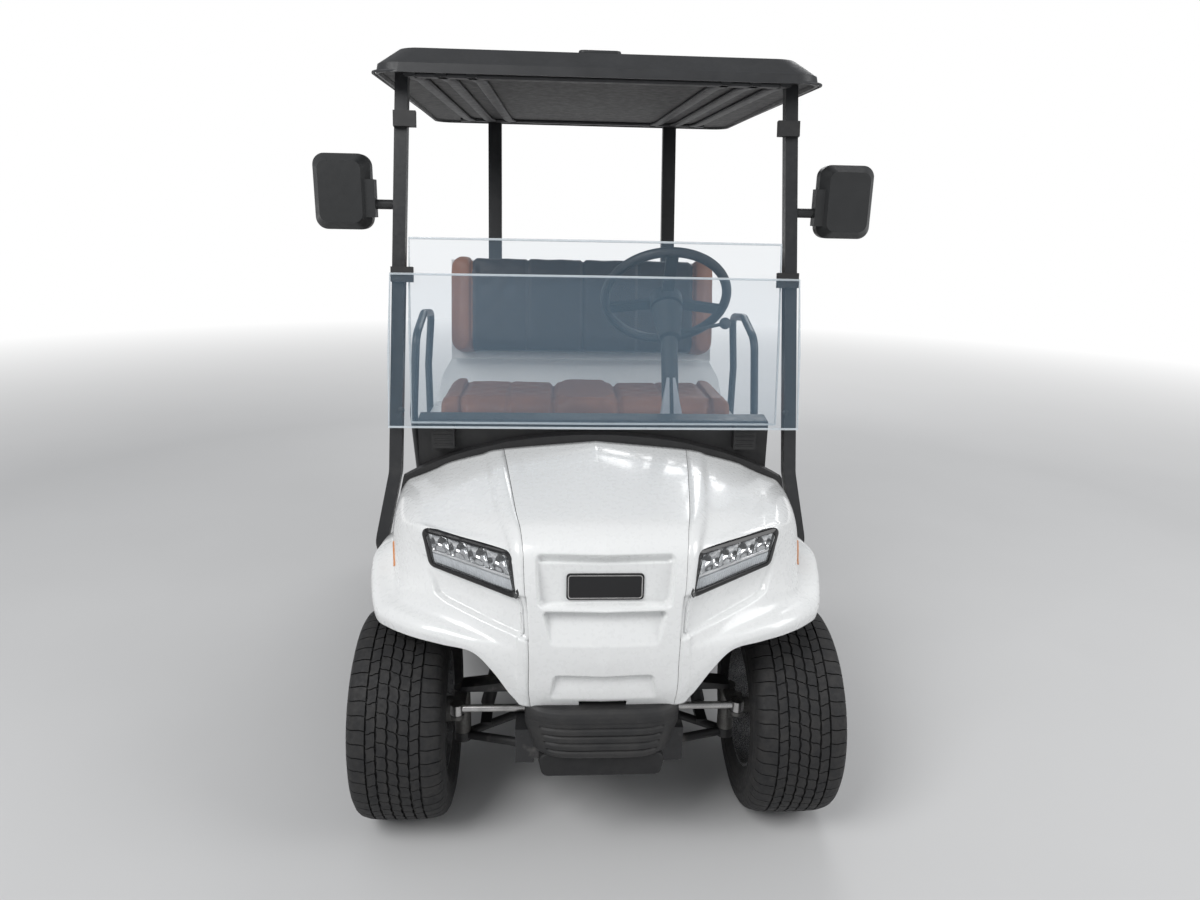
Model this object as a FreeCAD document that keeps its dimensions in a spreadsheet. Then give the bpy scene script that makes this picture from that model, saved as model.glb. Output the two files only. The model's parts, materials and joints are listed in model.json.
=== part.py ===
import FreeCAD, Part
import math
import os
import re
import Sketcher
from types import SimpleNamespace

# Two-seat electric golf cart. Lengths are in millimetres and angles in degrees.
# X is across (driver's side positive), Y runs back from the nose, Z is up from the ground.
# Every sub-part is drawn from the front axle's line on the ground, and its Placement
# then moves it by front_axle_y, so that the origin is at mid length.

os.makedirs("parts", exist_ok=True)
doc = FreeCAD.newDocument("golf_cart")
V = FreeCAD.Vector

# Driving sizes: alias, value, meaning
SIZES = (
    ("front_overhang", 285, "front axle to the nose"),
    ("wheelbase", 1664, "front axle to rear axle"),
    ("tail_reach", 346, "rear axle to the rear body's tail"),
    ("rear_bumper_deep", 55, "rear bumper, along the cart"),
    ("body_half", 560, "half width of the body at its sides"),
    ("tyre_radius", 260, "tyre, outside"),
    ("tyre_width", 226, "tyre, across its sidewalls"),
    ("tyre_wall", 14, "thickness of the tyre's sides and tread"),
    ("rim_radius", 152, "rim, at the bead seat"),
    ("rim_width", 190, "rim, between its flanges"),
    ("rim_wall", 6, "thickness of the rim's barrel"),
    ("track_half", 474, "centre line to a tyre's middle"),
    ("hub_bore", 20, "radius of the rim's bore"),
    ("run_gap", 0.3, "radial gap at a running fit"),
    ("seat_gap", 0.3, "gap of a piece that rests on another"),
    ("kingpin_x", 342, "centre line to a steering pivot"),
    ("kingpin_radius", 21, "steering pivot sleeve, outside"),
    ("kingpin_half", 62, "half height of the pivot sleeve"),
    ("arm_reach", 115, "steering arm, pivot to rod eye"),
    ("arm_top", 320, "top of the steering arms"),
    ("rail_x", 178, "centre line to a frame rail's middle"),
    ("rail_wide", 44, "frame rail, across"),
    ("rail_low", 225, "underside of the frame rails"),
    ("rail_deep", 90, "frame rail, height"),
    ("bumper_deep", 107, "front bumper, along the cart"),
    ("rail_reach", 296, "rails' rear end behind the rear axle"),
    ("cross_long", 44, "crossmember, along the cart"),
    ("kick_start_ahead", 379, "rails start to rise, ahead of the rear axle"),
    ("kick_end_ahead", 244, "rails are level again, ahead of the rear axle"),
    ("kick_up", 130, "rise of the rails over the rear axle"),
    ("body_wall", 5, "thickness of a moulded body panel"),
    ("panel_gap", 3, "visible gap between body panels"),
    ("arch_radius", 352, "front wheel arch"),
    ("arch_back", 28, "front arch centre behind the axle"),
    ("rear_arch", 300, "rear wheel arch radius"),
    ("hood_end", 232, "rear edge of the hood"),
    ("cowl_end", 420, "rear edge of the front side panels"),
    ("cowl_leg_top", 620, "top of the front side panels behind the hood"),
    ("seam_front", 172, "hood seam's half width at the nose"),
    ("seam_back", 242, "hood seam's half width at the hood's rear edge"),
    ("floor_top", 378, "top of the floor"),
    ("floor_thick", 14, "floor panel thickness"),
    ("floor_front", 425, "floor's front edge at the toe board"),
    ("floor_back_ahead", 759, "floor's rear edge, ahead of the rear axle"),
    ("toe_top_y", 330, "toe board's upper edge, along"),
    ("toe_top_z", 729.7, "toe board's upper edge, height"),
    ("dash_front", 274, "dash's front edge"),
    ("dash_back", 450, "dash's rear edge"),
    ("dash_inset", 90, "dash's ends inside the body's sides"),
    ("dash_low", 730, "underside of the dash"),
    ("dash_top", 962, "top of the dash"),
    ("pod_front_ahead", 754, "seat pod's front face, ahead of the rear axle"),
    ("pod_back_ahead", 334, "seat pod's rear face, ahead of the rear axle"),
    ("pod_top", 770, "seat pod's upper edge"),
    ("lid_thick", 22, "seat base board thickness"),
    ("lid_inset", 60, "seat base's sides inside the body's sides"),
    ("lid_front_ahead", 864, "seat base's front edge, ahead of the rear axle"),
    ("lid_back_ahead", 474, "seat base's rear edge, ahead of the rear axle"),
    ("cushion_thick", 105, "seat cushion thickness"),
    ("hinge_radius", 7, "hinge pins"),
    ("back_low", 975, "seat back cushion's lower edge"),
    ("back_tall", 370, "seat back cushion's height along its slope"),
    ("back_thick", 90, "seat back cushion's thickness"),
    ("back_inset", 52, "seat back's sides inside the body's sides"),
    ("back_ahead", 464, "seat back's face at its lower edge, ahead of the rear axle"),
    ("back_lean", 13, "seat back's lean from upright"),
    ("rear_low", 400, "rear body's lower edge"),
    ("rear_top", 870, "rear body's top at the front"),
    ("rear_drop", 120, "fall of the rear body's top to its tail"),
    ("rear_front_ahead", 329, "rear body's front edge, ahead of the rear axle"),
    ("well_half", 300, "bag well's half width"),
    ("well_ahead", 124, "bag well's front wall, ahead of the rear axle"),
    ("well_wall", 6, "bag well's thickness"),
    ("well_lip", 45, "height of the bag well's rear lip"),
    ("post_size", 32, "front post, square section"),
    ("post_top_inset", 66, "front post's top inside the body's side"),
    ("post_top_y", 398, "front post's top, along"),
    ("post_kink_inset", 33, "front post's bend inside the body's side"),
    ("post_kink_y", 244, "front post's bend, along"),
    ("post_kink_z", 822, "front post's bend, height"),
    ("post_hip_out", 16, "front post's lower bend beyond the body's side"),
    ("post_hip_y", 262, "front post's lower bend, along"),
    ("post_hip_z", 620, "front post's lower bend, height"),
    ("post_foot_y", 392, "front post's foot, along"),
    ("rear_post_x", 336, "rear post, across"),
    ("rear_post_wide", 50, "rear post, across its section"),
    ("rear_post_deep", 30, "rear post, along its section"),
    ("rear_post_top_ahead", 99, "rear post's top, ahead of the rear axle"),
    ("rear_post_foot_ahead", 269, "rear post's foot, ahead of the rear axle"),
    ("roof_front", 292, "roof's front lip"),
    ("roof_back_ahead", 67, "roof's rear edge, ahead of the rear axle"),
    ("roof_front_inset", 11, "roof's front corners inside the body's sides"),
    ("roof_back_out", 2, "roof's rear corners beyond the body's sides"),
    ("roof_lip", 1806, "roof's lower edge"),
    ("roof_rise", 78, "roof's height from its lower edge to its crown"),
    ("roof_wall", 6, "roof's thickness"),
    ("liner_rise", 8, "roof liner above the roof's lower edge"),
    ("liner_thick", 5, "roof liner's thickness"),
    ("pane_thick", 5, "windscreen pane thickness"),
    ("pane_inset", 10, "lower pane's edge inside the posts' middles"),
    ("pane_low_foot", 950, "lower pane's bottom edge"),
    ("pane_low_drop", 388, "lower pane's top edge below the roof's lower edge"),
    ("fold_below", 481, "folding pane's hinge below the roof's lower edge"),
    ("fold_ahead", 32, "folding pane's plane ahead of the posts' middle"),
    ("fold_inset", 20, "folding pane's free corners inside the body's sides"),
    ("fold_top_inset", 30, "folding pane's hinged corners inside the body's sides"),
    ("fold_lap", 10, "folding pane's free edge below the lower pane's bottom edge"),
    ("mirror_stand", 14, "mirror housing's inner edge beyond the body's side"),
    ("mirror_wide", 142, "mirror housing, across"),
    ("mirror_drop", 369, "mirror housing's lower edge below the roof's lower edge"),
    ("mirror_tall", 184, "mirror housing's height"),
    ("mirror_deep", 62, "mirror housing's depth"),
    ("mirror_y", 340, "mirror housing's middle, along"),
    ("wheel_x", 220, "steering wheel's centre, across"),
    ("wheel_y", 600, "steering wheel's centre, along"),
    ("wheel_z", 1250, "steering wheel's centre, height"),
    ("wheel_radius", 180, "steering wheel, to the rim's middle"),
    ("wheel_grip", 14, "steering wheel rim's section radius"),
    ("column_rise", 40, "steering wheel's axis, slope from level"),
    ("column_head", 130, "column's tilted head below the wheel"),
    ("column_foot_y", 385, "column's foot in the dash, along"),
    ("column_foot_z", 915, "column's foot in the dash, height"),
    ("bumper_half", 176, "front bumper's half width"),
    ("bumper_low", 302, "front bumper's underside"),
    ("bumper_high", 429, "front bumper's top"),
    ("badge_half", 84, "blank badge plate's half width"),
    ("badge_low", 687, "blank badge plate's lower edge"),
    ("badge_high", 748, "blank badge plate's upper edge"),
    ("badge_thick", 4, "blank badge plate's thickness"),
    ("case_radius", 98, "differential case radius"),
    ("motor_radius", 92, "drive motor radius"),
)
# Places worked out from the sizes: alias, formula, meaning
PLACES = (
    ("half_length", "(front_overhang + wheelbase + tail_reach + rear_bumper_deep) / 2", "half of the length"),
    ("frame_front", "bumper_deep - front_overhang", "front end of the rails"),
    ("frame_back", "wheelbase + rail_reach", "rear end of the rails"),
    ("kick_start", "wheelbase - kick_start_ahead", "rails start to rise over the rear axle"),
    ("kick_end", "wheelbase - kick_end_ahead", "rails are level again"),
    ("floor_back", "wheelbase - floor_back_ahead", "floor's rear edge at the seat pod"),
    ("pod_front", "wheelbase - pod_front_ahead", "seat pod's front face"),
    ("pod_back", "wheelbase - pod_back_ahead", "seat pod's rear face"),
    ("dash_half", "body_half - dash_inset", "half width of the dash"),
    ("lid_half", "body_half - lid_inset", "half width of the seat base"),
    ("lid_front", "wheelbase - lid_front_ahead", "seat base's front edge"),
    ("lid_back", "wheelbase - lid_back_ahead", "seat base's rear edge"),
    ("back_half", "body_half - back_inset", "seat back's half width"),
    ("back_y", "wheelbase - back_ahead", "seat back cushion's face at its lower edge"),
    ("rear_front", "wheelbase - rear_front_ahead", "rear body's front edge"),
    ("rear_end", "wheelbase + tail_reach", "rear body's tail"),
    ("well_front", "wheelbase - well_ahead", "bag well's front wall"),
    ("post_top_x", "body_half - post_top_inset", "front post's top, across"),
    ("post_kink_x", "body_half - post_kink_inset", "front post's bend, across"),
    ("post_hip_x", "body_half + post_hip_out", "front post's lower bend, across"),
    ("rear_post_top_y", "wheelbase - rear_post_top_ahead", "rear post's top, along"),
    ("rear_post_foot_y", "wheelbase - rear_post_foot_ahead", "rear post's foot, along"),
    ("roof_long", "wheelbase - roof_back_ahead - roof_front", "roof's length"),
    ("roof_half_front", "body_half - roof_front_inset", "roof's half width at the front"),
    ("roof_half_back", "body_half + roof_back_out", "roof's half width at the back"),
    ("roof_top", "roof_lip + roof_rise", "roof's crown"),
    ("pane_low_half", "post_top_x - pane_inset", "lower pane's half width"),
    ("pane_low_top", "roof_lip - pane_low_drop", "lower pane's top edge"),
    ("fold_z", "roof_lip - fold_below", "folding pane's hinge height"),
    ("fold_half", "body_half - fold_inset", "folding pane's half width at its free edge"),
    ("fold_half_top", "body_half - fold_top_inset", "folding pane's half width at its hinge"),
    ("fold_drop", "fold_z - pane_low_foot + fold_lap", "folding pane's height"),
    ("mirror_in", "body_half + mirror_stand", "mirror housing's inner edge"),
    ("mirror_out", "mirror_in + mirror_wide", "mirror housing's outer edge"),
    ("mirror_low", "roof_lip - mirror_drop", "mirror housing's lower edge"),
    ("mirror_high", "mirror_low + mirror_tall", "mirror housing's upper edge"),
)
ALIASES = {row[0]: "sizes." + row[0] for row in SIZES}
ALIASES.update({row[0]: "places." + row[0] for row in PLACES})


def cell(formula):
    """Write a formula of aliases as an expression on the sheets."""
    return re.sub(r"[a-z_][a-z_0-9]*", lambda word: ALIASES.get(word[0], word[0]), formula)


def fill_sheet(name, rows):
    """Spreadsheet with a meaning and a named value in each row."""
    sheet = doc.addObject("Spreadsheet::Sheet", name)
    for row, (alias, value, meaning) in enumerate(rows, 1):
        sheet.set(f"A{row}", meaning)
        sheet.setAlias(f"B{row}", alias)
        own = "=" + cell(value).replace(name + ".", "") if isinstance(value, str) else str(value)
        sheet.set(f"B{row}", own)
    doc.recompute()
    return {alias: float(sheet.get(alias)) for alias, value, meaning in rows}


k = SimpleNamespace(**fill_sheet("sizes", SIZES), **fill_sheet("places", PLACES))
PARTS = []


def publish(solid, label, station="0"):
    """Name a finished sub-part and place it from the front axle into the cart's frame."""
    solid.Label = label
    solid.setExpression("Placement.Base.y", cell(f"front_overhang - half_length + {station}"))
    PARTS.append(solid)
    return solid


def publish_mirrored(source, label):
    """Name the mirror image of a sub-part that is already placed."""
    solid = mirrored(label, source)
    solid.Label = label
    PARTS.append(solid)
    return solid


def feature(name, shape):
    """Hold a finished shape as a piece of the document."""
    solid = doc.addObject("Part::Feature", name)
    solid.Shape = shape if shape.Placement.isIdentity() else Part.makeCompound([shape])
    return solid


def box(name, x, y, z):
    """Box given by (start, length) formulas along each axis."""
    solid = doc.addObject("Part::Box", name)
    for side, axis, (start, length) in zip(("Length", "Width", "Height"), "xyz", (x, y, z)):
        solid.setExpression(side, cell(length))
        solid.setExpression("Placement.Base." + axis, cell(start))
    return solid


def mirrored(name, source):
    """The same piece on the other side of the cart."""
    solid = doc.addObject("Part::Mirroring", name)
    solid.Source = source
    solid.Normal = (1, 0, 0)
    return solid


def joined(name, pieces):
    """Fuse pieces into one solid."""
    solid = doc.addObject("Part::MultiFuse", name)
    solid.Shapes = pieces
    return solid


def grouped(name, pieces):
    """Keep separate solids together in one sub-part."""
    solid = doc.addObject("Part::Compound", name)
    solid.Links = pieces
    return solid


def both_sides(name, piece):
    """Left and right solids as one sub-part."""
    return grouped(name, [piece, mirrored(name + "_right", piece)])


def sketch_on(body, role, name, points):
    """Closed outline on an origin plane whose corners are held by formulas."""
    plane = next(item for item in body.Origin.OriginFeatures if item.Role == role)
    outline = body.newObject("Sketcher::SketchObject", name)
    outline.AttachmentSupport = (plane, [""])
    outline.MapMode = "FlatFace"
    count = len(points)
    turn = 2 * math.pi / count
    seeds = [V(100 * math.cos(turn * i), 100 * math.sin(turn * i), 0) for i in range(count)]
    for i in range(count):
        outline.addGeometry(Part.LineSegment(seeds[i], seeds[(i + 1) % count]))
    for i in range(count):
        outline.addConstraint(Sketcher.Constraint("Coincident", i, 2, (i + 1) % count, 1))
    for i, corner in enumerate(points):
        for kind, seed, formula in zip(("DistanceX", "DistanceY"), seeds[i], corner):
            held = outline.addConstraint(Sketcher.Constraint(kind, -1, 1, i, 1, seed))
            outline.setExpression(f"Constraints[{held}]", cell(formula))
    return outline


def revolved(label, points):
    """Body turned about its own X axis from an (along, radius) outline."""
    body = doc.addObject("PartDesign::Body", label)
    spin = body.newObject("PartDesign::Revolution", label + "_turned")
    spin.Profile = sketch_on(body, "XZ_Plane", label + "_section", points)
    spin.ReferenceAxis = (spin.Profile[0], ["H_Axis"])
    spin.Angle = 360
    body.Tip = spin
    return body


def polygon(points):
    """Face inside a closed run of straight edges."""
    return Part.Face(Part.makePolygon(points + points[:1]))


def slab_x(points, start, end):
    """Solid from a (y, z) outline between two x values."""
    return polygon([V(start, y, z) for y, z in points]).extrude(V(end - start, 0, 0))


def slab_y(points, start, end):
    """Solid from an (x, z) outline between two y values."""
    return polygon([V(x, start, z) for x, z in points]).extrude(V(0, end - start, 0))


def slab_z(points, start, end):
    """Solid from an (x, y) outline between two z values."""
    return polygon([V(x, y, start) for x, y in points]).extrude(V(0, 0, end - start))


def block(x, y, z):
    """Plain block between pairs of limits."""
    return Part.makeBox(x[1] - x[0], y[1] - y[0], z[1] - z[0], V(x[0], y[0], z[0]))


def bent_path(points, bend):
    """Straight runs joined by tangent arcs."""
    edges = []
    start = points[0]
    for before, corner, after in zip(points, points[1:], points[2:]):
        back = (before - corner).normalize()
        ahead = (after - corner).normalize()
        half = back.getAngle(ahead) / 2
        leave = corner + back * (bend / math.tan(half))
        join = corner + ahead * (bend / math.tan(half))
        middle = corner + (back + ahead).normalize() * (bend / math.sin(half) - bend)
        edges.append(Part.LineSegment(start, leave))
        edges.append(Part.Arc(leave, middle, join))
        start = join
    edges.append(Part.LineSegment(start, points[-1]))
    return Part.Wire([edge.toShape() for edge in edges])


def bent_ring(corners, bend):
    """Closed outline with rounded corners."""
    count = len(corners)
    edges = []
    joins = []
    for i, corner in enumerate(corners):
        back = (corners[i - 1] - corner).normalize()
        ahead = (corners[(i + 1) % count] - corner).normalize()
        half = back.getAngle(ahead) / 2
        reach = bend / math.tan(half)
        middle = corner + (back + ahead).normalize() * (bend / math.sin(half) - bend)
        joins.append((corner + back * reach, middle, corner + ahead * reach))
    for i, (leave, middle, join) in enumerate(joins):
        edges.append(Part.Arc(leave, middle, join))
        edges.append(Part.LineSegment(join, joins[(i + 1) % count][0]))
    return Part.Wire([edge.toShape() for edge in edges])


def rounded(corners, bend, travel):
    """Solid from a flat outline with rounded corners, moved along a vector."""
    return Part.Face(bent_ring(corners, bend)).extrude(travel)


def rounded_x(points, bend, start, end):
    """Solid from a (y, z) outline with rounded corners between two x values."""
    return rounded([V(start, y, z) for y, z in points], bend, V(end - start, 0, 0))


def rounded_y(points, bend, start, end):
    """Solid from an (x, z) outline with rounded corners between two y values."""
    return rounded([V(x, start, z) for x, z in points], bend, V(0, end - start, 0))


def rounded_z(points, bend, start, end):
    """Solid from an (x, y) outline with rounded corners between two z values."""
    return rounded([V(x, y, start) for x, y in points], bend, V(0, 0, end - start))


def swept(points, bend, wide, deep=None, across=V(1, 0, 0)):
    """Bar along a bent path: round where only a radius is given, else wide by deep."""
    path = bent_path(points, bend)
    along = (points[1] - points[0]).normalize()
    if deep is None:
        section = Part.Wire(Part.makeCircle(wide, points[0], along))
    else:
        side = (across - along * across.dot(along)).normalize() * (wide / 2)
        face = along.cross(side).normalize() * (deep / 2)
        corners = [points[0] + side * a + face * b for a, b in ((1, 1), (-1, 1), (-1, -1), (1, -1))]
        section = Part.makePolygon(corners + corners[:1])
    return path.makePipeShell([section], True, False)


def flipped(shape):
    """Mirror a shape across the cart's centre plane."""
    return shape.mirror(V(0, 0, 0), V(1, 0, 0))


def pair(shape):
    """A shape together with its mirror image."""
    return Part.makeCompound([shape, flipped(shape)])


# Wheels: a hollow tyre on a dished rim, front pair on the knuckles, rear pair on the axle
TYRE_SECTION = (
    ("-rim_width / 2 + 4", "rim_radius + run_gap"),
    ("-rim_width / 2 - 4", "rim_radius + 12"),
    ("-tyre_width / 2", "rim_radius + 48"),
    ("-tyre_width / 2 + 5", "tyre_radius - 26"),
    ("-tyre_width / 2 + 20", "tyre_radius - 7"),
    ("-tyre_width / 4", "tyre_radius - 1"),
    ("0", "tyre_radius"),
    ("tyre_width / 4", "tyre_radius - 1"),
    ("tyre_width / 2 - 20", "tyre_radius - 7"),
    ("tyre_width / 2 - 5", "tyre_radius - 26"),
    ("tyre_width / 2", "rim_radius + 48"),
    ("rim_width / 2 + 4", "rim_radius + 12"),
    ("rim_width / 2 - 4", "rim_radius + run_gap"),
    ("rim_width / 2 - 18", "rim_radius + run_gap"),
    ("tyre_width / 2 - tyre_wall", "rim_radius + 48"),
    ("tyre_width / 2 - 30", "tyre_radius - 10 - tyre_wall"),
    ("-tyre_width / 2 + 30", "tyre_radius - 10 - tyre_wall"),
    ("-tyre_width / 2 + tyre_wall", "rim_radius + 48"),
    ("-rim_width / 2 + 18", "rim_radius + run_gap"),
)
SPOKES = 5


def rim_shape():
    """Alloy rim about the X axis, its dish towards +X."""
    half = k.rim_width / 2
    barrel = Part.makeCylinder(k.rim_radius, 2 * half, V(-half, 0, 0), V(1, 0, 0))
    hollow = Part.makeCylinder(k.rim_radius - k.rim_wall, 2 * half + 2, V(-half - 1, 0, 0), V(1, 0, 0))
    shell = barrel.cut(hollow)
    disc = Part.makeCylinder(k.rim_radius - k.rim_wall / 2, 14, V(half - 62, 0, 0), V(1, 0, 0))
    hub = Part.makeCylinder(44, 76, V(half - 96, 0, 0), V(1, 0, 0))
    window = slab_x([(-16, 62), (16, 62), (46, 128), (-46, 128)], half - 70, half - 40)
    for spoke in range(SPOKES):
        disc = disc.cut(window.rotated(V(0, 0, 0), V(1, 0, 0), 360 / SPOKES * spoke))
    bore = Part.makeCylinder(k.hub_bore, 200, V(-100, 0, 0), V(1, 0, 0))
    return shell.fuse([disc, hub]).cut(bore).removeSplitter()


def build_wheels():
    """Four tyres and four rims at the ends of the two axles."""
    rim = rim_shape()
    for end, station in (("front", "0"), ("rear", "wheelbase")):
        for side, sign in (("left", 1), ("right", -1)):
            tyre = revolved(f"tyre_{end}_{side}", TYRE_SECTION)
            wheel = feature(f"rim_{end}_{side}", rim if sign > 0 else flipped(rim))
            for piece in (tyre, wheel):
                piece.setExpression("Placement.Base.x", cell(f"{sign} * track_half"))
                piece.setExpression("Placement.Base.z", cell("tyre_radius"))
                publish(piece, piece.Name, station)


# Front running gear
def knuckle_shape():
    """Left pivot sleeve with its spindle and a steering arm that reaches forward."""
    low = k.tyre_radius - k.kingpin_half
    sleeve = Part.makeCylinder(k.kingpin_radius, 2 * k.kingpin_half, V(k.kingpin_x, 0, low))
    reach = k.track_half + k.rim_width / 2 - 12 - k.kingpin_x
    spindle = Part.makeCylinder(k.hub_bore - k.run_gap, reach, V(k.kingpin_x, 0, k.tyre_radius), V(1, 0, 0))
    collar = Part.makeCylinder(32, 40, V(k.kingpin_x, 0, k.tyre_radius), V(1, 0, 0))
    tip = V(k.kingpin_x, -k.arm_reach, k.arm_top - 5)
    arm = swept([V(k.kingpin_x, 0, k.arm_top - 5), tip], 1, 30, 10)
    pad = Part.makeCylinder(17, 10, V(tip.x, tip.y, k.arm_top - 10))
    return sleeve.fuse([spindle, collar, arm, pad]).removeSplitter()


def build_steering():
    """Knuckles, the sliding tie rods, the rack housing, the column and the wheel."""
    knuckle = feature("knuckle_left", knuckle_shape())
    publish(knuckle, "knuckle_left")
    publish_mirrored(knuckle, "knuckle_right")

    eye_z = k.arm_top + 1
    rack_z = eye_z + 13
    bar = Part.makeCylinder(9, 2 * k.kingpin_x, V(-k.kingpin_x, -k.arm_reach, rack_z), V(1, 0, 0))
    eyes = [Part.makeCylinder(16, 26, V(sign * k.kingpin_x, -k.arm_reach, eye_z)) for sign in (1, -1)]
    publish(feature("tie_rods", bar.fuse(eyes).removeSplitter()), "tie_rods")

    tube = Part.makeCylinder(22, 240, V(-120, -k.arm_reach, rack_z), V(1, 0, 0))
    bore = Part.makeCylinder(9.5, 260, V(-130, -k.arm_reach, rack_z), V(1, 0, 0))
    rail_top = k.rail_low + k.rail_deep
    feet = [block((x - 14, x + 14), (-k.arm_reach - 45, -k.arm_reach + 15), (rail_top, rack_z - 5))
            for x in (-95, 95)]
    pinion = Part.makeCylinder(24, 60, V(70, -k.arm_reach - 18, rail_top + 1))
    shaft = swept([V(70, -k.arm_reach - 18, rack_z + 30), V(110, 20, 560), V(200, k.dash_front - 14, 790)],
                  40, 10)
    gear = tube.fuse(feet + [pinion, shaft]).cut(bore)
    publish(feature("steering_gear", gear.removeSplitter()), "steering_gear")

    rise = math.radians(k.column_rise)
    axis = V(0, math.cos(rise), math.sin(rise))
    centre = V(k.wheel_x, k.wheel_y, k.wheel_z)
    head = centre - axis * k.column_head
    foot = V(k.wheel_x, k.column_foot_y, k.column_foot_z)
    column = swept([foot, head, centre - axis * (40 + k.run_gap)], 60, 24)
    shroud = Part.makeCone(30, 46, 110, head - axis * 30, axis)
    stalk = swept([head, head + V(80, 0, 4), head + V(150, 0, 20)], 25, 5)
    knob = Part.makeSphere(17, head + V(162, 0, 23))
    whole = column.fuse([shroud, stalk, knob]).cut(dash_outline())
    publish(feature("steering_column", whole), "steering_column")

    ring = Part.makeTorus(k.wheel_radius, k.wheel_grip, centre, axis)
    hub = Part.makeCylinder(48, 40, centre - axis * 40, axis)
    across = V(1, 0, 0)
    down = axis.cross(across)
    spokes = []
    for angle in (-15, 195, 90):
        turn = math.radians(angle)
        ray = across * math.cos(turn) - down * math.sin(turn)
        spokes.append(swept([centre - axis * 18, centre + ray * k.wheel_radius], 1, 34, 12, axis.cross(ray)))
    publish(feature("steering_wheel", ring.fuse([hub] + spokes)), "steering_wheel")


def dash_outline():
    """Solid outline of the dash, its rear corners rounded from above."""
    back = k.dash_back
    side = rounded_x([(k.dash_front, k.dash_low), (back - 20, k.dash_low), (back, 800), (back - 20, 870),
                      (back - 80, k.dash_top - 15), (back - 120, k.dash_top), (k.dash_front, k.dash_top - 8)],
                     9, -k.dash_half, k.dash_half)
    plan = rounded_z([(-k.dash_half, k.dash_front - 40), (k.dash_half, k.dash_front - 40),
                      (k.dash_half, back - 40), (k.dash_half - 60, back), (60 - k.dash_half, back),
                      (-k.dash_half, back - 40)], 24, k.dash_low - 1, k.dash_top + 1)
    return side.common(plan)


def damper(foot, head, across, radius):
    """Telescopic damper between two eyes that turn about the across direction."""
    along = (head - foot).normalize()
    reach = (head - foot).Length
    body = Part.makeCylinder(radius, reach * 0.55, foot, along)
    cover = Part.makeCylinder(radius * 0.8, reach * 0.25, foot + along * reach * 0.75, along)
    rod = Part.makeCylinder(radius * 0.4, reach, foot, along)
    wide = radius + 2
    eyes = [Part.makeCylinder(radius * 0.75, 2 * wide, end - across * wide, across) for end in (foot, head)]
    return body.fuse([cover, rod] + eyes).removeSplitter()


def build_front_suspension():
    """Transverse leaf above, lower arms below and a damper on each side."""
    eye = k.tyre_radius + k.kingpin_half + k.run_gap
    foot = k.tyre_radius - k.kingpin_half - k.run_gap
    rail_top = k.rail_low + k.rail_deep
    leaf = slab_y([(-k.kingpin_x, eye), (k.kingpin_x, eye), (k.kingpin_x, eye + 12), (150, eye + 34),
                   (-150, eye + 34), (-k.kingpin_x, eye + 12)], -25, 25)
    saddle = block((-60, 60), (-22, 22), (rail_top, eye + 1))
    pieces = [leaf.fuse(saddle)]
    for sign in (1, -1):
        pivot = V(sign * k.kingpin_x, 0, foot - 13)
        for station in (-90, 110):
            pieces.append(swept([V(sign * 120, station, foot + 8), pivot], 1, 11))
        pieces.append(Part.makeCylinder(22, 24, pivot - V(0, 0, 11)))
    mount = block((-150, 150), (-120, 140), (foot - 4, k.rail_low))
    shelves = [block((sign * 285 - 14, sign * 285 + 14), (20, 112), (foot - 6, foot + 6)) for sign in (1, -1)]
    arms = pieces[1].fuse(pieces[2:] + [mount] + shelves)
    strut_y = TOWER_START + TOWER_DEEP + k.seat_gap + 20
    low = V(285, strut_y, foot + 6 + k.seat_gap + 13.5)
    high = V(k.rail_x + TOWER_REACH - 16, strut_y, k.rail_low + k.rail_deep + TOWER_RISE - 18)
    struts = pair(damper(low, high, V(0, 1, 0), 18))
    publish(feature("front_suspension", Part.makeCompound([pieces[0], arms] + struts.Solids)),
            "front_suspension")


# Damper towers on the rails behind the front axle: start y, along, reach outwards, rise
TOWER_START = 46
TOWER_DEEP = 24
TOWER_REACH = 62
TOWER_RISE = 170


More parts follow.
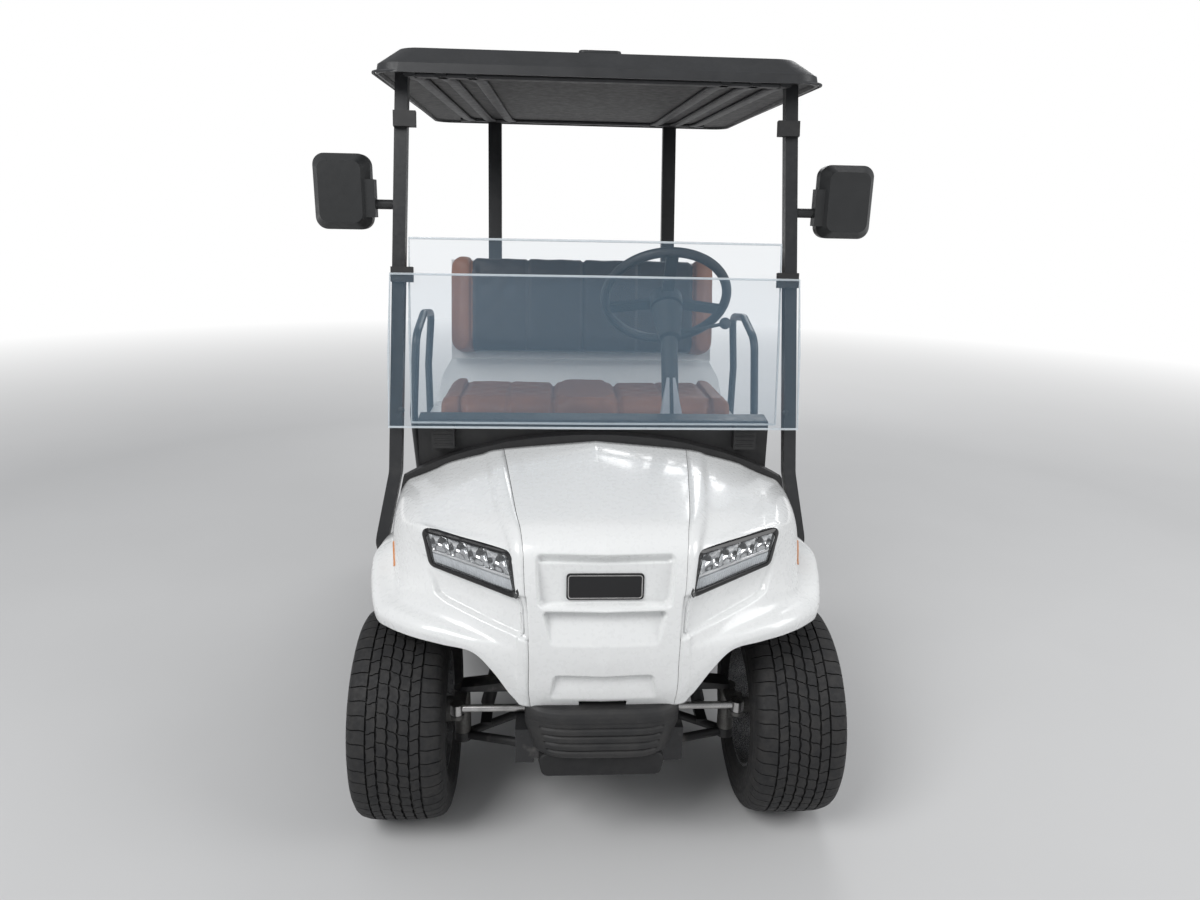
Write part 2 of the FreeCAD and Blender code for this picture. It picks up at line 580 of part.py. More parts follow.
def build_frame():
    """Two rails with crossmembers, damper towers and the outriggers that carry the floor."""
    rail = doc.addObject("PartDesign::Body", "rail")
    pad = rail.newObject("PartDesign::Pad", "rail_pad")
    pad.Profile = sketch_on(rail, "YZ_Plane", "rail_side", (
        ("frame_front", "rail_low"), ("kick_start", "rail_low"), ("kick_end", "rail_low + kick_up"),
        ("frame_back", "rail_low + kick_up"), ("frame_back", "rail_low + kick_up + rail_deep - 20"),
        ("kick_end - 20", "rail_low + kick_up + rail_deep - 20"), ("kick_start - 20", "rail_low + rail_deep"),
        ("frame_front", "rail_low + rail_deep")))
    pad.setExpression("Length", cell("rail_wide"))
    rail.Tip = pad
    rail.setExpression("Placement.Base.x", cell("rail_x - rail_wide / 2"))
    pieces = [rail, mirrored("rail_right", rail)]
    low = "rail_low + 12"
    high = "rail_low + kick_up + 5"
    reach = "body_half - 60 - seat_gap"
    rail_top = "rail_low + rail_deep"
    under_floor = "floor_top - floor_thick - seat_gap"
    rear_top = "rail_low + kick_up + rail_deep - 20"
    members = (
        ("frame_front", "rail_x", low, rail_top), ("-cross_long / 2", "rail_x", low, rail_top),
        ("300", "rail_x", low, rail_top), ("pod_front", "rail_x", low, rail_top),
        ("floor_front + 20", reach, low, under_floor), ("floor_back - 60", reach, low, under_floor),
        ("kick_start - 60", reach, low, rail_top), ("wheelbase - 240", "rail_x", high, rear_top),
        ("frame_back - cross_long", "300", high, rear_top),
    )
    for number, (station, half, bottom, top) in enumerate(members):
        pieces.append(box(f"cross_{number}", (f"-({half})", f"2 * ({half})"), (station, "cross_long"),
                          (bottom, f"{top} - ({bottom})")))
    tower = box("tower", ("rail_x - 18", f"18 + {TOWER_REACH}"), (f"{TOWER_START}", f"{TOWER_DEEP}"),
                ("rail_low + rail_deep - 5", f"{TOWER_RISE} + 5"))
    pieces += [tower, mirrored("tower_right", tower)]
    publish(joined("frame_chassis", pieces), "frame_chassis")


def build_rear_gear():
    """Rear axle with its differential, the motor, leaf springs, dampers and battery block."""
    axle = Part.makeCylinder(32, 2 * 330, V(-330, 0, 0), V(1, 0, 0))
    drums = [Part.makeCylinder(95, 34, V(sign * 330 - (34 if sign < 0 else 0), 0, 0), V(1, 0, 0))
             for sign in (1, -1)]
    spindle_end = k.track_half + k.rim_width / 2 - 12
    shafts = Part.makeCylinder(k.hub_bore - k.run_gap, 2 * spindle_end, V(-spindle_end, 0, 0), V(1, 0, 0))
    case = Part.makeCylinder(k.case_radius, 110, V(15, 0, 0), V(1, 0, 0))
    flange = Part.makeCylinder(70, 60, V(-45, 0, 0), V(1, 0, 0))
    lugs = [block((sign * 218 - 14, sign * 218 + 14), (-62, 0), (-12, 16)) for sign in (1, -1)]
    ribs = [Part.makeCylinder(k.case_radius + 5, 7, V(x, 0, 0), V(1, 0, 0)) for x in (96, 112)]
    whole = axle.fuse(drums + [shafts, case, flange] + lugs + ribs).removeSplitter()
    whole.translate(V(0, k.wheelbase, k.tyre_radius))
    publish(feature("rear_axle", whole), "rear_axle")

    beside = k.wheelbase + k.case_radius + k.motor_radius + k.seat_gap
    motor = Part.makeCylinder(k.motor_radius, 180, V(-90, beside, k.tyre_radius), V(1, 0, 0))
    caps = [Part.makeCylinder(k.motor_radius - 10, 215, V(-110, beside, k.tyre_radius), V(1, 0, 0)),
            block((-60, 40), (beside - 30, beside + 30),
                  (k.tyre_radius, k.tyre_radius + k.motor_radius + 14))]
    publish(feature("drive_motor", motor.fuse(caps).removeSplitter()), "drive_motor")

    near = k.kick_start - 60 + k.cross_long + k.seat_gap
    far = k.frame_back
    hang = k.rail_low + k.kick_up + 5 - k.seat_gap
    middle = k.wheelbase
    spring = slab_x([(near, 292), (middle - 150, 312), (middle - 60, 320), (middle + 60, 320),
                     (middle + 150, 312), (far, hang - 9), (far, hang), (middle + 150, 324),
                     (middle + 60, 346), (middle - 60, 346), (middle - 150, 324), (near, 301)], 240, 290)
    saddle = block((236, 294), (middle - 40, middle + 40), (k.tyre_radius + 32.3, 322))
    low = V(218, middle - 62 - 12 - k.seat_gap, k.tyre_radius + 2)
    high = V(k.rail_x + k.rail_wide / 2 + k.seat_gap + 18, middle - 190, k.rail_low + k.kick_up + 45)
    strut = damper(low, high, V(1, 0, 0), 16)
    springs = pair(spring.fuse([saddle]).removeSplitter())
    publish(feature("rear_suspension", Part.makeCompound(springs.Solids + pair(strut).Solids)),
            "rear_suspension")
    battery = box("battery_block", ("-260", "520"), ("pod_front + 40", "pod_back - pod_front - 110"),
                  ("rail_low + rail_deep + seat_gap", "260"))
    publish(grouped("battery_pack", [battery]), "battery_pack")


# Front body, drawn for a half width of 560 and stretched to body_half
DRAWN_HALF = 560
# Plan outlines: height, nose half width, nose y, cheek x, cheek y, side x, side y, rear half width
PLAN_OUTLINES = (
    (395, 150, -262, 352, -212, 522, -90, 552),
    (592, 150, -281, 356, -229, 531, -92, 556),
    (606, 150, -284, 350, -222, 522, -84, 556),
    (626, 149, -285, 338, -186, 491, -44, 548),
    (700, 148, -284, 345, -164, 493, -10, 534),
    (800, 146, -270, 366, -146, 478, 30, 506),
    (960, 140, -190, 320, -90, 440, 50, 485),
)
# Crown of the hood: station y, centre z, shoulder x and z, its foot x and z, mid x and z, edge z
CROWN_OUTLINES = (
    (-345, 740, 182, 735, 213, 710, 360, 690, 554),
    (-212, 836, 184, 833, 213, 806, 360, 786, 650),
    (10, 880, 230, 870, 262, 862, 400, 826, 680),
    (450, 940, 255, 906, 290, 896, 400, 858, 700),
)
CROWN_EDGE = 640
LIP_OUTLINE = ((-700, 598), (-548, 586), (-420, 575), (-279, 555), (-188, 434), (-150, 418), (-62, 418),
               (-56, 442), (56, 442), (62, 418), (150, 418), (188, 434), (279, 555), (420, 575), (548, 586),
               (700, 598))


def cowl_form(inset):
    """Solid inside the front body's outer surface, drawn in by an inset."""
    back = k.cowl_end if inset == 0 else k.cowl_end + 60
    stretch = k.body_half / DRAWN_HALF
    rings = []
    for height, nose_x, nose_y, cheek_x, cheek_y, side_x, side_y, rear_x in PLAN_OUTLINES:
        level = height - inset * 0.6
        slant = inset * 0.75
        right = [V(nose_x * stretch - inset * 0.3, nose_y + inset, level),
                 V(cheek_x * stretch - slant, cheek_y + slant, level),
                 V(side_x * stretch - inset, side_y + inset * 0.3, level),
                 V(rear_x * stretch - inset, back, level)]
        left = [V(-p.x, p.y, p.z) for p in right]
        edges = [Part.Arc(right[0], right[1], right[2]), Part.LineSegment(right[2], right[3]),
                 Part.LineSegment(right[3], left[3]), Part.LineSegment(left[3], left[2]),
                 Part.Arc(left[2], left[1], left[0]), Part.LineSegment(left[0], right[0])]
        rings.append(Part.Wire([edge.toShape() for edge in edges]))
    walls = Part.makeLoft(rings, True, True)
    crowns = []
    reach = CROWN_EDGE * stretch
    for station, top_z, shoulder_x, shoulder_z, foot_x, foot_z, mid_x, mid_z, edge_z in CROWN_OUTLINES:
        top = V(0, station, top_z - inset)
        right = [V(shoulder_x * stretch, station, shoulder_z - inset), V(foot_x * stretch, station,
                                                                         foot_z - inset),
                 V(mid_x * stretch, station, mid_z - inset * 1.1), V(reach, station, edge_z - inset * 1.2),
                 V(reach, station, 300)]
        left = [V(-p.x, p.y, p.z) for p in right]
        edges = [Part.Arc(left[0], top, right[0]), Part.LineSegment(right[0], right[1]),
                 Part.Arc(right[1], right[2], right[3]), Part.LineSegment(right[3], right[4]),
                 Part.LineSegment(right[4], left[4]), Part.LineSegment(left[4], left[3]),
                 Part.Arc(left[3], left[2], left[1]), Part.LineSegment(left[1], left[0])]
        crowns.append(Part.Wire([edge.toShape() for edge in edges]))
    crown = Part.makeLoft(crowns, True, True)
    return walls.common(crown)


# Wheel arch flare: how far its face stands beyond the body and the radii of its root, shoulder and face
FLARE_OUT = -3
FLARE_ROOT = 93
FLARE_SHOULDER = 52
FLARE_FACE = 28
# Front end of the flare from above, x and y, and its upper edge from the side, y and z
FLARE_PLAN = ((440, -150), (492, -150), (531, -92), (550, -30), (558, 40))
FLARE_SIDE = ((-95, 606), (-50, 630), (0, 690), (60, 714))


def flare_form(inset):
    """Solid of the left wheel arch flare, its outer faces drawn in by an inset."""
    face = k.body_half + FLARE_OUT - inset
    root = face - 51
    low = k.arch_radius - 12
    radii = [k.arch_radius + reach - inset for reach in (FLARE_FACE, FLARE_SHOULDER, FLARE_ROOT)]
    section = [(root - 40, low), (face, low), (face, radii[0]), (face - 9, radii[1]), (root, radii[2]),
               (root - 40, radii[2])]
    ring = polygon([V(x, k.arch_back, k.tyre_radius + r) for x, r in section])
    ring = ring.revolve(V(0, k.arch_back, k.tyre_radius), V(1, 0, 0), 360)
    stretch = k.body_half / DRAWN_HALF
    plan = [(x * stretch - inset, y + inset) for x, y in FLARE_PLAN]
    plan += [(plan[-1][0], k.cowl_end), (plan[0][0], k.cowl_end)]
    side = [(y + inset, z - inset) for y, z in FLARE_SIDE]
    side += [(k.cowl_end, side[-1][1]), (k.cowl_end, 300), (side[0][0], 300)]
    return ring.common(slab_z(plan, 300, 800)).common(slab_x(side, 300, 700))


# Recesses of the nose: half width, low z, high z, depth behind the face, corner radius
RECESSES = ((140, 680, 798, 16, 26), (122, 600, 668, 12, 10), (104, 455, 510, 10, 8))
RECESS_FACE = -266
# Headlight corners in the front view: inner top, outer top, outer bottom, inner bottom
LAMP_CORNERS = ((205, 789), (410, 806), (392, 717), (182, 690))
LAMP_BEND = 16
# Facet under the headlight: corners in the front view, and its plane as y at a point and its slopes
FACET_CORNERS = ((198, 687), (396, 711), (378, 664), (353, 649), (284, 631), (228, 618), (204, 613))
FACET_POINT = (182, -258, 690)
FACET_SLOPE = (0.5576, 0.0335)


def lamp_prism(inset):
    """Prism through the left headlight, its edges drawn in by an inset."""
    middle_x = sum(x for x, z in LAMP_CORNERS) / 4
    middle_z = sum(z for x, z in LAMP_CORNERS) / 4
    reach_x = 1 - inset / 104
    reach_z = 1 - inset / 46
    return rounded_y([(middle_x + (x - middle_x) * reach_x, middle_z + (z - middle_z) * reach_z)
                      for x, z in LAMP_CORNERS], LAMP_BEND - inset, -400, 120)


def facet_prism(grow, back):
    """Prism in front of the facet's plane, its outline grown and its plane moved back."""
    middle = V(sum(x for x, z in FACET_CORNERS), 0, sum(z for x, z in FACET_CORNERS)) / len(FACET_CORNERS)
    corners = []
    for x, z in FACET_CORNERS:
        spot = V(x, 0, z)
        spot += (spot - middle).normalize() * grow
        ahead = FACET_SLOPE[0] * (x - FACET_POINT[0]) + FACET_SLOPE[1] * (z - FACET_POINT[2])
        spot.y = FACET_POINT[1] + back + ahead
        corners.append(spot)
    flat = polygon([V(spot.x, -400, spot.z) for spot in corners]).extrude(V(0, 400, 0))
    reach = 600
    tilt = V(1, FACET_SLOPE[0], 0)
    rise = V(0, FACET_SLOPE[1], 1)
    centre = V(FACET_POINT[0], FACET_POINT[1] + back, FACET_POINT[2])
    plane = [centre + tilt * a * reach + rise * b * reach for a, b in ((-1, -1), (1, -1), (1, 1), (-1, 1))]
    return flat.common(polygon(plane).extrude(V(0, -800, 0)))


def nose_pocket(half, low, high, bend, end):
    """Prism with rounded corners from ahead of the nose back to a y value."""
    return rounded_y([(-half, low), (half, low), (half, high), (-half, high)], bend, -400, end)


def bumper_shape():
    """Front bumper: rounded shoulder, curved in plan, with grooves across its face."""
    nose = -k.front_overhang
    back = k.frame_front - k.seat_gap
    side = slab_x([(nose + 14, k.bumper_low), (nose, k.bumper_low + 22), (nose, k.bumper_high - 25),
                   (nose + 5, k.bumper_high - 6), (nose + 16, k.bumper_high), (nose + 16, k.bumper_high - 14),
                   (back, k.bumper_high - 14), (back, k.bumper_low + 6)], -k.bumper_half, k.bumper_half)
    plan = rounded_z([(-140, nose), (140, nose), (k.bumper_half, nose + 30), (k.bumper_half, back),
                      (-k.bumper_half, back), (-k.bumper_half, nose + 30)], 12, 200, 500)
    front = rounded_y([(-k.bumper_half, k.bumper_high), (k.bumper_half, k.bumper_high),
                       (k.bumper_half - 6, k.bumper_low + 40), (k.bumper_half - 26, k.bumper_low),
                       (26 - k.bumper_half, k.bumper_low), (6 - k.bumper_half, k.bumper_low + 40)], 14,
                      nose - 1, 0)
    shape = side.common(plan).common(front)
    pitch = (k.bumper_high - k.bumper_low) / 6
    for groove in range(1, 4):
        height = k.bumper_low + pitch * (groove + 0.4)
        shape = shape.cut(block((-150, 150), (nose - 1, nose + 5), (height, height + 5)))
    return shape


def build_front_body():
    """Hood, fenders, headlights, badge plate, cowl trim and bumper."""
    outer = cowl_form(0)
    inner = cowl_form(k.body_wall)
    shell = outer.cut(inner)
    below_lip = slab_y([(-700, 300)] + list(LIP_OUTLINE) + [(700, 300)], -400, 0)
    arch = Part.makeCylinder(k.arch_radius, 1400, V(-700, k.arch_back, k.tyre_radius), V(1, 0, 0))
    nose = block((-188, 188), (-400, -150), (300, 640))
    arch_tool = arch.cut(nose)
    above_leg = block((-700, 700), (k.hood_end, k.cowl_end + 100), (k.cowl_leg_top, 1100))
    behind = block((-700, 700), (k.cowl_end, 600), (200, 1100))
    under = block((-700, 700), (-400, 600), (200, 400))
    openings = [below_lip, arch_tool, above_leg, behind, under]
    shell = shell.cut(openings)

    for half, low, high, deep, bend in RECESSES:
        cup = nose_pocket(half + 5, low - 5, high + 5, bend + 5, RECESS_FACE + 4 + deep)
        shell = shell.fuse(cup.common(outer)).cut(nose_pocket(half, low, high, bend, RECESS_FACE + deep))

    seam = ((k.seam_front, -400), (k.seam_front, -200), (k.seam_back, k.hood_end), (k.seam_back, 600))
    middle = slab_z(list(seam) + [(-x, y) for x, y in reversed(seam)], 200, 1100)
    grown = [(x + k.panel_gap, y) for x, y in seam]
    gap = slab_z(grown + [(-x, y) for x, y in reversed(grown)], 200, 1100)
    lamp_hole = lamp_prism(0)
    hood = shell.common(middle)
    left_side = block((0, 800), (-500, 700), (200, 1200))
    fender = shell.common(left_side)
    fender = fender.fuse(facet_prism(4, 4).common(outer)).cut(facet_prism(0, 0))
    flare = flare_form(0).cut([flare_form(k.body_wall), inner] + openings)
    fender = fender.cut(flare_form(k.body_wall)).fuse(flare).cut([gap, lamp_hole])
    tongue = [(x - 14, y) for x, y in seam] + [(x + k.panel_gap + 16, y) for x, y in reversed(seam)]
    lap = inner.cut(cowl_form(k.body_wall + 3)).common(slab_z(tongue, 440, 1100))
    lap = lap.cut([above_leg, below_lip, lamp_hole,
                   outer.cut(cowl_form(k.body_wall + k.seat_gap)).common(gap)])
    lap = lap.common(block((0, 800), (-500, k.hood_end), (440, 1100)))
    flange = block((k.dash_half + 30, k.body_half - 10), (k.cowl_end - 5, k.cowl_end), (400, k.cowl_leg_top))
    fender = fender.fuse([lap, flange.common(outer)])
    publish(feature("hood_panel", hood), "hood_panel")
    left = feature("fender_left", fender)
    publish(left, "fender_left")
    publish_mirrored(left, "fender_right")

    bucket = outer.cut(cowl_form(46)).common(lamp_prism(1))
    cavity = outer.cut(cowl_form(36)).common(lamp_prism(9))
    housing = feature("headlight", bucket.cut(cavity))
    publish(both_sides("headlight_housings", housing), "headlight_housings")
    pane = feature("lens", outer.cut(cowl_form(3)).common(lamp_prism(9.3)))
    publish(both_sides("headlight_lenses", pane), "headlight_lenses")

    back = RECESS_FACE + RECESSES[0][3] - k.seat_gap
    badge = ((-k.badge_half, k.badge_low), (k.badge_half, k.badge_low), (k.badge_half, k.badge_high),
             (-k.badge_half, k.badge_high))
    publish(feature("badge_plate", rounded_y(badge, 8, back - k.badge_thick, back)), "badge_plate")

    band = block((-640, 640), (k.hood_end + k.seat_gap, k.hood_end + 26), (700, 1100))
    publish(feature("cowl_trim", cowl_form(-16).cut(cowl_form(6)).common(band)), "cowl_trim")
    publish(feature("front_bumper", bumper_shape()), "front_bumper")


# Hip restraint loop: inside its feet across, ahead of the rear axle, height
RESTRAINT_ROUTE = ((0, 434, 620), (0, 439, 930), (21, 469, 1125), (21, 654, 1145), (17, 814, 1090),
                   (0, 814, 830), (0, 729, 620))


def build_cabin():
    """Floor, rockers, pedals, dash, seat pod, seat and hip restraints."""
    slope_end = k.toe_top_z
    toe = slab_x([(k.floor_front, k.floor_top - k.floor_thick), (k.floor_back, k.floor_top - k.floor_thick),
                  (k.floor_back, k.floor_top), (k.floor_front, k.floor_top), (k.toe_top_y + 8, 640),
                  (k.toe_top_y + 8, slope_end), (k.toe_top_y, slope_end), (k.toe_top_y, 638)],
                 -k.body_half + 60 + k.seat_gap, k.body_half - 60 - k.seat_gap)
    publish(feature("floor_pan", toe), "floor_pan")

    sill = box("sill", ("body_half - 60", "60"), ("cowl_end + 4", "pod_front - cowl_end - 8"),
               ("floor_top - 60", "58"))
    publish(both_sides("rocker_panels", sill), "rocker_panels")

    pedals = []
    for x, wide in ((150, 90), (270, 60)):
        pad = block((-wide / 2, wide / 2), (-5, 5), (-45, 45))
        pad.rotate(V(0, 0, 0), V(1, 0, 0), -35)
        pad.translate(V(x, 490, 480))
        lever = swept([V(x, 490, 480), V(x, 450, 440), V(x, 408.5, 432)], 12, 8)
        pedals.append(pad.fuse(lever))
    publish(feature("pedals", Part.makeCompound(pedals)), "pedals")

    bins = [rounded_y([(x, 760), (x + 250, 760), (x + 250, 860), (x, 860)], 14, k.dash_front + 40, 600)
            for x in (-430, -140)]
    publish(feature("dash", dash_outline().cut(bins)), "dash")

    pod_low = k.rail_low + k.rail_deep + k.seat_gap
    outer = pod_form(0, pod_low)
    room = pod_form(8, k.rail_low)
    mouth = block((-k.lid_half + 20, k.lid_half - 20), (k.pod_front + 20, k.lid_back - 20),
                  (k.rail_low, k.pod_top + 1))
    notch = block((-210, 210), (k.pod_back - 40, k.pod_back + 1), (k.rail_low, k.rail_low + k.rail_deep + 90))
    panel = rounded_y([(-430, pod_low + 60), (430, pod_low + 60), (430, k.pod_top - 60),
                       (-430, k.pod_top - 60)], 30, k.pod_front - 10, k.pod_front + 4)
    publish(feature("seat_pod", outer.cut([room, mouth, notch, panel]).fuse(hinge_ears())), "seat_pod")

    base = box("seat_board", ("-lid_half", "2 * lid_half"), ("lid_front", "lid_back - lid_front"),
               ("pod_top + seat_gap", "lid_thick"))
    publish(joined("seat_base", [base, feature("seat_hinges", hinge_barrels())]), "seat_base")
    publish(feature("seat_cushion", cushion_shape()), "seat_cushion")

    back = rounded_y([(-k.back_half, 0), (k.back_half, 0), (k.back_half, k.back_tall),
                      (-k.back_half, k.back_tall)], 55, 14, k.back_thick)
    bolsters = [rounded_y([(start, 12), (end, 12), (end, k.back_tall - 12), (start, k.back_tall - 12)], 30, 0,
                          30) for start, end in ((-k.back_half + 12, -k.back_half + 92),
                                                 (k.back_half - 92, k.back_half - 12))]
    back = back.fuse(bolsters)
    shell = block((-k.back_half + 14, k.back_half - 14), (k.back_thick + k.seat_gap, k.back_thick + 22),
                  (-12, k.back_tall - 12))
    for piece in (back, shell):
        piece.rotate(V(0, 0, 0), V(1, 0, 0), -k.back_lean)
        piece.translate(V(0, k.back_y, k.back_low))
    bracket_y = k.back_y + 135
    bracket = block((k.rear_post_x - 18, k.rear_post_x + 18), (bracket_y, bracket_y + 125),
                    (1080, 1112)).cut(rear_post())
    bracket = bracket.common(block((0, 800), (bracket_y - 35, bracket_y + 90), (1000, 1200)))
    publish(feature("seat_back_cushion", back), "seat_back_cushion")
    publish(feature("seat_back_shell", shell.fuse([bracket, flipped(bracket)])), "seat_back_shell")

    bar = 13
    foot = k.body_half + bar + k.seat_gap
    route = [V(foot - out, k.wheelbase - ahead, height) for out, ahead, height in RESTRAINT_ROUTE]
    publish(feature("hip_restraints", pair(swept(route, 55, bar))), "hip_restraints")


# Humps of the seat cushion: share of the half width where each starts and ends, and its height lost
CUSHION_HUMPS = ((-1, -0.84, 4), (-0.84, -0.14, 14), (-0.14, 0.14, 0), (0.14, 0.84, 14), (0.84, 1, 4))


def cushion_shape():
    """Seat cushion with a hump between the places and raised sides."""
    low = k.pod_top + k.lid_thick + 2 * k.seat_gap
    near = k.lid_front - 12
    far = k.lid_back - 12
    humps = []
    for start, end, loss in CUSHION_HUMPS:
        top = low + k.cushion_thick - loss
        humps.append(rounded_x([(near, low), (far, low), (far, top - 6), (near, top)], 30,
                               start * k.lid_half, end * k.lid_half))
    return humps[0].fuse(humps[1:])


# Seat hinges: their middles across, half length of a barrel, thickness of the ears beside it
HINGE_STATIONS = (-320, 320)
HINGE_HALF = 20
EAR_THICK = 12


def hinge_barrels():
    """Barrels at the rear edge of the seat base, turning about its hinge line."""
    radius = k.hinge_radius
    low = k.pod_top + k.seat_gap
    middle = k.lid_back + radius + 1
    barrels = []
    for x in HINGE_STATIONS:
        barrel = Part.makeCylinder(radius, 2 * HINGE_HALF, V(x - HINGE_HALF, middle, low + radius),
                                   V(1, 0, 0))
        barrels.append(barrel.fuse(block((x - HINGE_HALF, x + HINGE_HALF), (k.lid_back - 2, middle),
                                         (low, low + 8))))
    return Part.makeCompound(barrels)


def hinge_ears():
    """Round-topped ears on the seat pod beside each barrel."""
    radius = k.hinge_radius
    axis_z = k.pod_top + k.seat_gap + radius
    middle = k.lid_back + radius + 1
    ears = []
    for x in HINGE_STATIONS:
        for start in (x - HINGE_HALF - k.seat_gap - EAR_THICK, x + HINGE_HALF + k.seat_gap):
            eye = Part.makeCylinder(radius, EAR_THICK, V(start, middle, axis_z), V(1, 0, 0))
            foot = block((start, start + EAR_THICK), (middle - radius, middle + radius),
                         (k.pod_top - 3, axis_z))
            ears.append(eye.fuse(foot))
    return ears


def pod_form(inset, low):
    """Solid of the seat pod from a lower level up, its faces drawn in by an inset."""
    half = k.body_half - inset
    near = k.pod_front + inset
    far = k.pod_back - inset
    outline = [(-half, near), (half, near), (half, far), (-half, far)]
    return rounded_z(outline, 45 - inset, low, k.pod_top - inset)


def rear_post():
    """Left rear post, long enough to be trimmed at the body and the roof."""
    lean = V(0, k.rear_post_top_y - k.rear_post_foot_y, k.roof_lip - k.rear_top)
    foot = V(k.rear_post_x, k.rear_post_foot_y, k.rear_top)
    return swept([foot + lean * 1.1, foot - lean * 0.1], 1, k.rear_post_wide, k.rear_post_deep)


def rear_form(inset):
    """Solid inside the rear body's outer surface, drawn in by an inset."""
    half = k.body_half - inset
    near = k.rear_front + inset
    far = k.rear_end - inset
    top = k.rear_top - inset
    tail_top = top - k.rear_drop
    low = k.rear_low if inset == 0 else k.rear_low - 60
    side = rounded_x([(near, low), (far - 14, low + 40), (far, tail_top - 60), (far - 22, tail_top),
                      (near + 250, top), (near, top)], 12, -half, half)
    front = rounded_y([(-half, low), (half, low), (half, top - 90), (half - 26, top), (26 - half, top),
                       (-half, top - 90)], 20, near, far)
    plan = rounded_z([(-half, near - 200), (half, near - 200), (half, far - 150), (half - 60, far),
                      (60 - half, far), (-half, far - 150)], 60, low - 1, top + 1)
    return side.common(front).common(plan)


# Shoulder of the rear body behind the seat: half width and height from below upwards, along, rise
SHOULDER_OUTLINE = ((536, 0), (484, 88), (478, 92))
SHOULDER_DEEP = 40


def seat_shoulder(inset):
    """Raised part of the rear body behind the seat, its faces drawn in by an inset."""
    base = k.rear_top - 30 - inset
    outline = [(half - inset, k.rear_top + rise - inset) for half, rise in SHOULDER_OUTLINE]
    outline = [(outline[0][0] + 10, base)] + outline
    flat = slab_y([(-x, z) for x, z in outline] + list(reversed(outline)), k.rear_front + inset,
                  k.rear_front + SHOULDER_DEEP - inset)
    slope = slab_x([(k.rear_front, base), (k.rear_front + SHOULDER_DEEP, base),
                    (k.rear_front + SHOULDER_DEEP - 26, k.rear_top + 100), (k.rear_front, k.rear_top + 100)],
                   -k.body_half, k.body_half)
    return flat.common(slope)


def build_rear_body():
    """Rear fenders around the bag well, with its rack, basket, lamps and bumper."""
    tail_top = k.rear_top - k.rear_drop
    shell = rear_form(0).fuse(seat_shoulder(0)).cut([rear_form(k.body_wall), seat_shoulder(k.body_wall)])
    arch = Part.makeCylinder(k.rear_arch, 1400, V(-700, k.wheelbase, k.tyre_radius), V(1, 0, 0))
    lip = Part.makeCylinder(k.rear_arch + 38, 2 * k.body_half + 14, V(-k.body_half - 7, k.wheelbase,
                                                                      k.tyre_radius), V(1, 0, 0))
    lip = lip.cut(block((6 - k.body_half, k.body_half - 6), (0, 3000), (0, 1000)))
    lip = lip.common(block((-700, 700), (k.rear_front, k.rear_end - 70), (k.rear_low, 1000)))
    gap = k.well_wall + k.seat_gap
    deck = k.rail_low + k.kick_up + k.rail_deep - 20 + gap
    well = block((-k.well_half - gap, k.well_half + gap), (k.well_front - gap, k.rear_end + 200),
                 (deck - gap, 1000))
    publish(feature("rear_body", shell.fuse(lip.Solids).cut([arch, well])), "rear_body")

    tub = block((-k.well_half - k.well_wall, k.well_half + k.well_wall), (k.well_front - k.well_wall,
                                                                          k.rear_end - 2),
                (deck - k.well_wall, tail_top))
    room = block((-k.well_half, k.well_half), (k.well_front, k.rear_end - k.well_wall), (deck, 1000))
    door = block((-k.well_half, k.well_half), (k.rear_end - 20, k.rear_end + 20), (deck + k.well_lip, 1000))
    publish(feature("bag_well", tub.cut([room, door])), "bag_well")

    side = k.rear_post_x
    near = k.rear_post_foot_y + 5
    far = near + 260
    corners = [V(-side, near, 1000), V(-side, far, 1010), V(side, far, 1010), V(side, near, 1000)]
    rack = swept(corners, 60, 13).cut([rear_post(), flipped(rear_post())])
    rack = rack.common(block((-800, 800), (near + 25, far + 340), (900, 1100)))
    publish(feature("bag_rack", rack), "bag_rack")
    half = k.rear_post_x - k.rear_post_wide / 2 - k.seat_gap
    basket = rounded_z([(-half, near), (half, near), (half, near + 130), (-half, near + 130)], 16, 880, 985)
    inside = rounded_z([(6 - half, near + 6), (half - 6, near + 6), (half - 6, near + 124),
                        (6 - half, near + 124)], 10, 884, 1000)
    publish(feature("basket", basket.cut(inside)), "basket")

    low = tail_top - 130
    lamp = rounded_y([(k.body_half - 190, low), (k.body_half - 96, low + 6), (k.body_half - 90, low + 84),
                      (k.body_half - 184, low + 90)], 14, k.rear_end - 20, k.rear_end + 12)
    lamp = feature("lamp", lamp.cut(tail_cutter()))
    publish(both_sides("tail_lights", lamp), "tail_lights")
    publish(feature("rear_bumper", rear_bumper_shape()), "rear_bumper")


def tail_cutter():
    """Everything ahead of a narrow gap behind the rear body's tail."""
    return rear_form(-k.seat_gap)


def rear_bumper_shape():
    """Rear bumper, curved in plan, with a groove along its face."""
    near = k.rear_end - 20
    far = k.rear_end + k.rear_bumper_deep
    low = k.rear_low + 10
    plan = rounded_z([(-470, near), (470, near), (440, far - 18), (300, far), (-300, far), (-440, far - 18)],
                     14, low, low + 70)
    side = rounded_x([(near, low), (far - 10, low), (far, low + 14), (far, low + 56), (far - 10, low + 70),
                      (near, low + 70)], 6, -500, 500)
    groove = block((-400, 400), (far - 4, far + 1), (low + 30, low + 40))
    half = k.well_half + k.well_wall + k.seat_gap
    beside_well = block((-half, half), (near - 1, k.rear_end - 2 + k.seat_gap), (low - 1, 1000))
    return plan.common(side).cut([groove, beside_well, tail_cutter()])


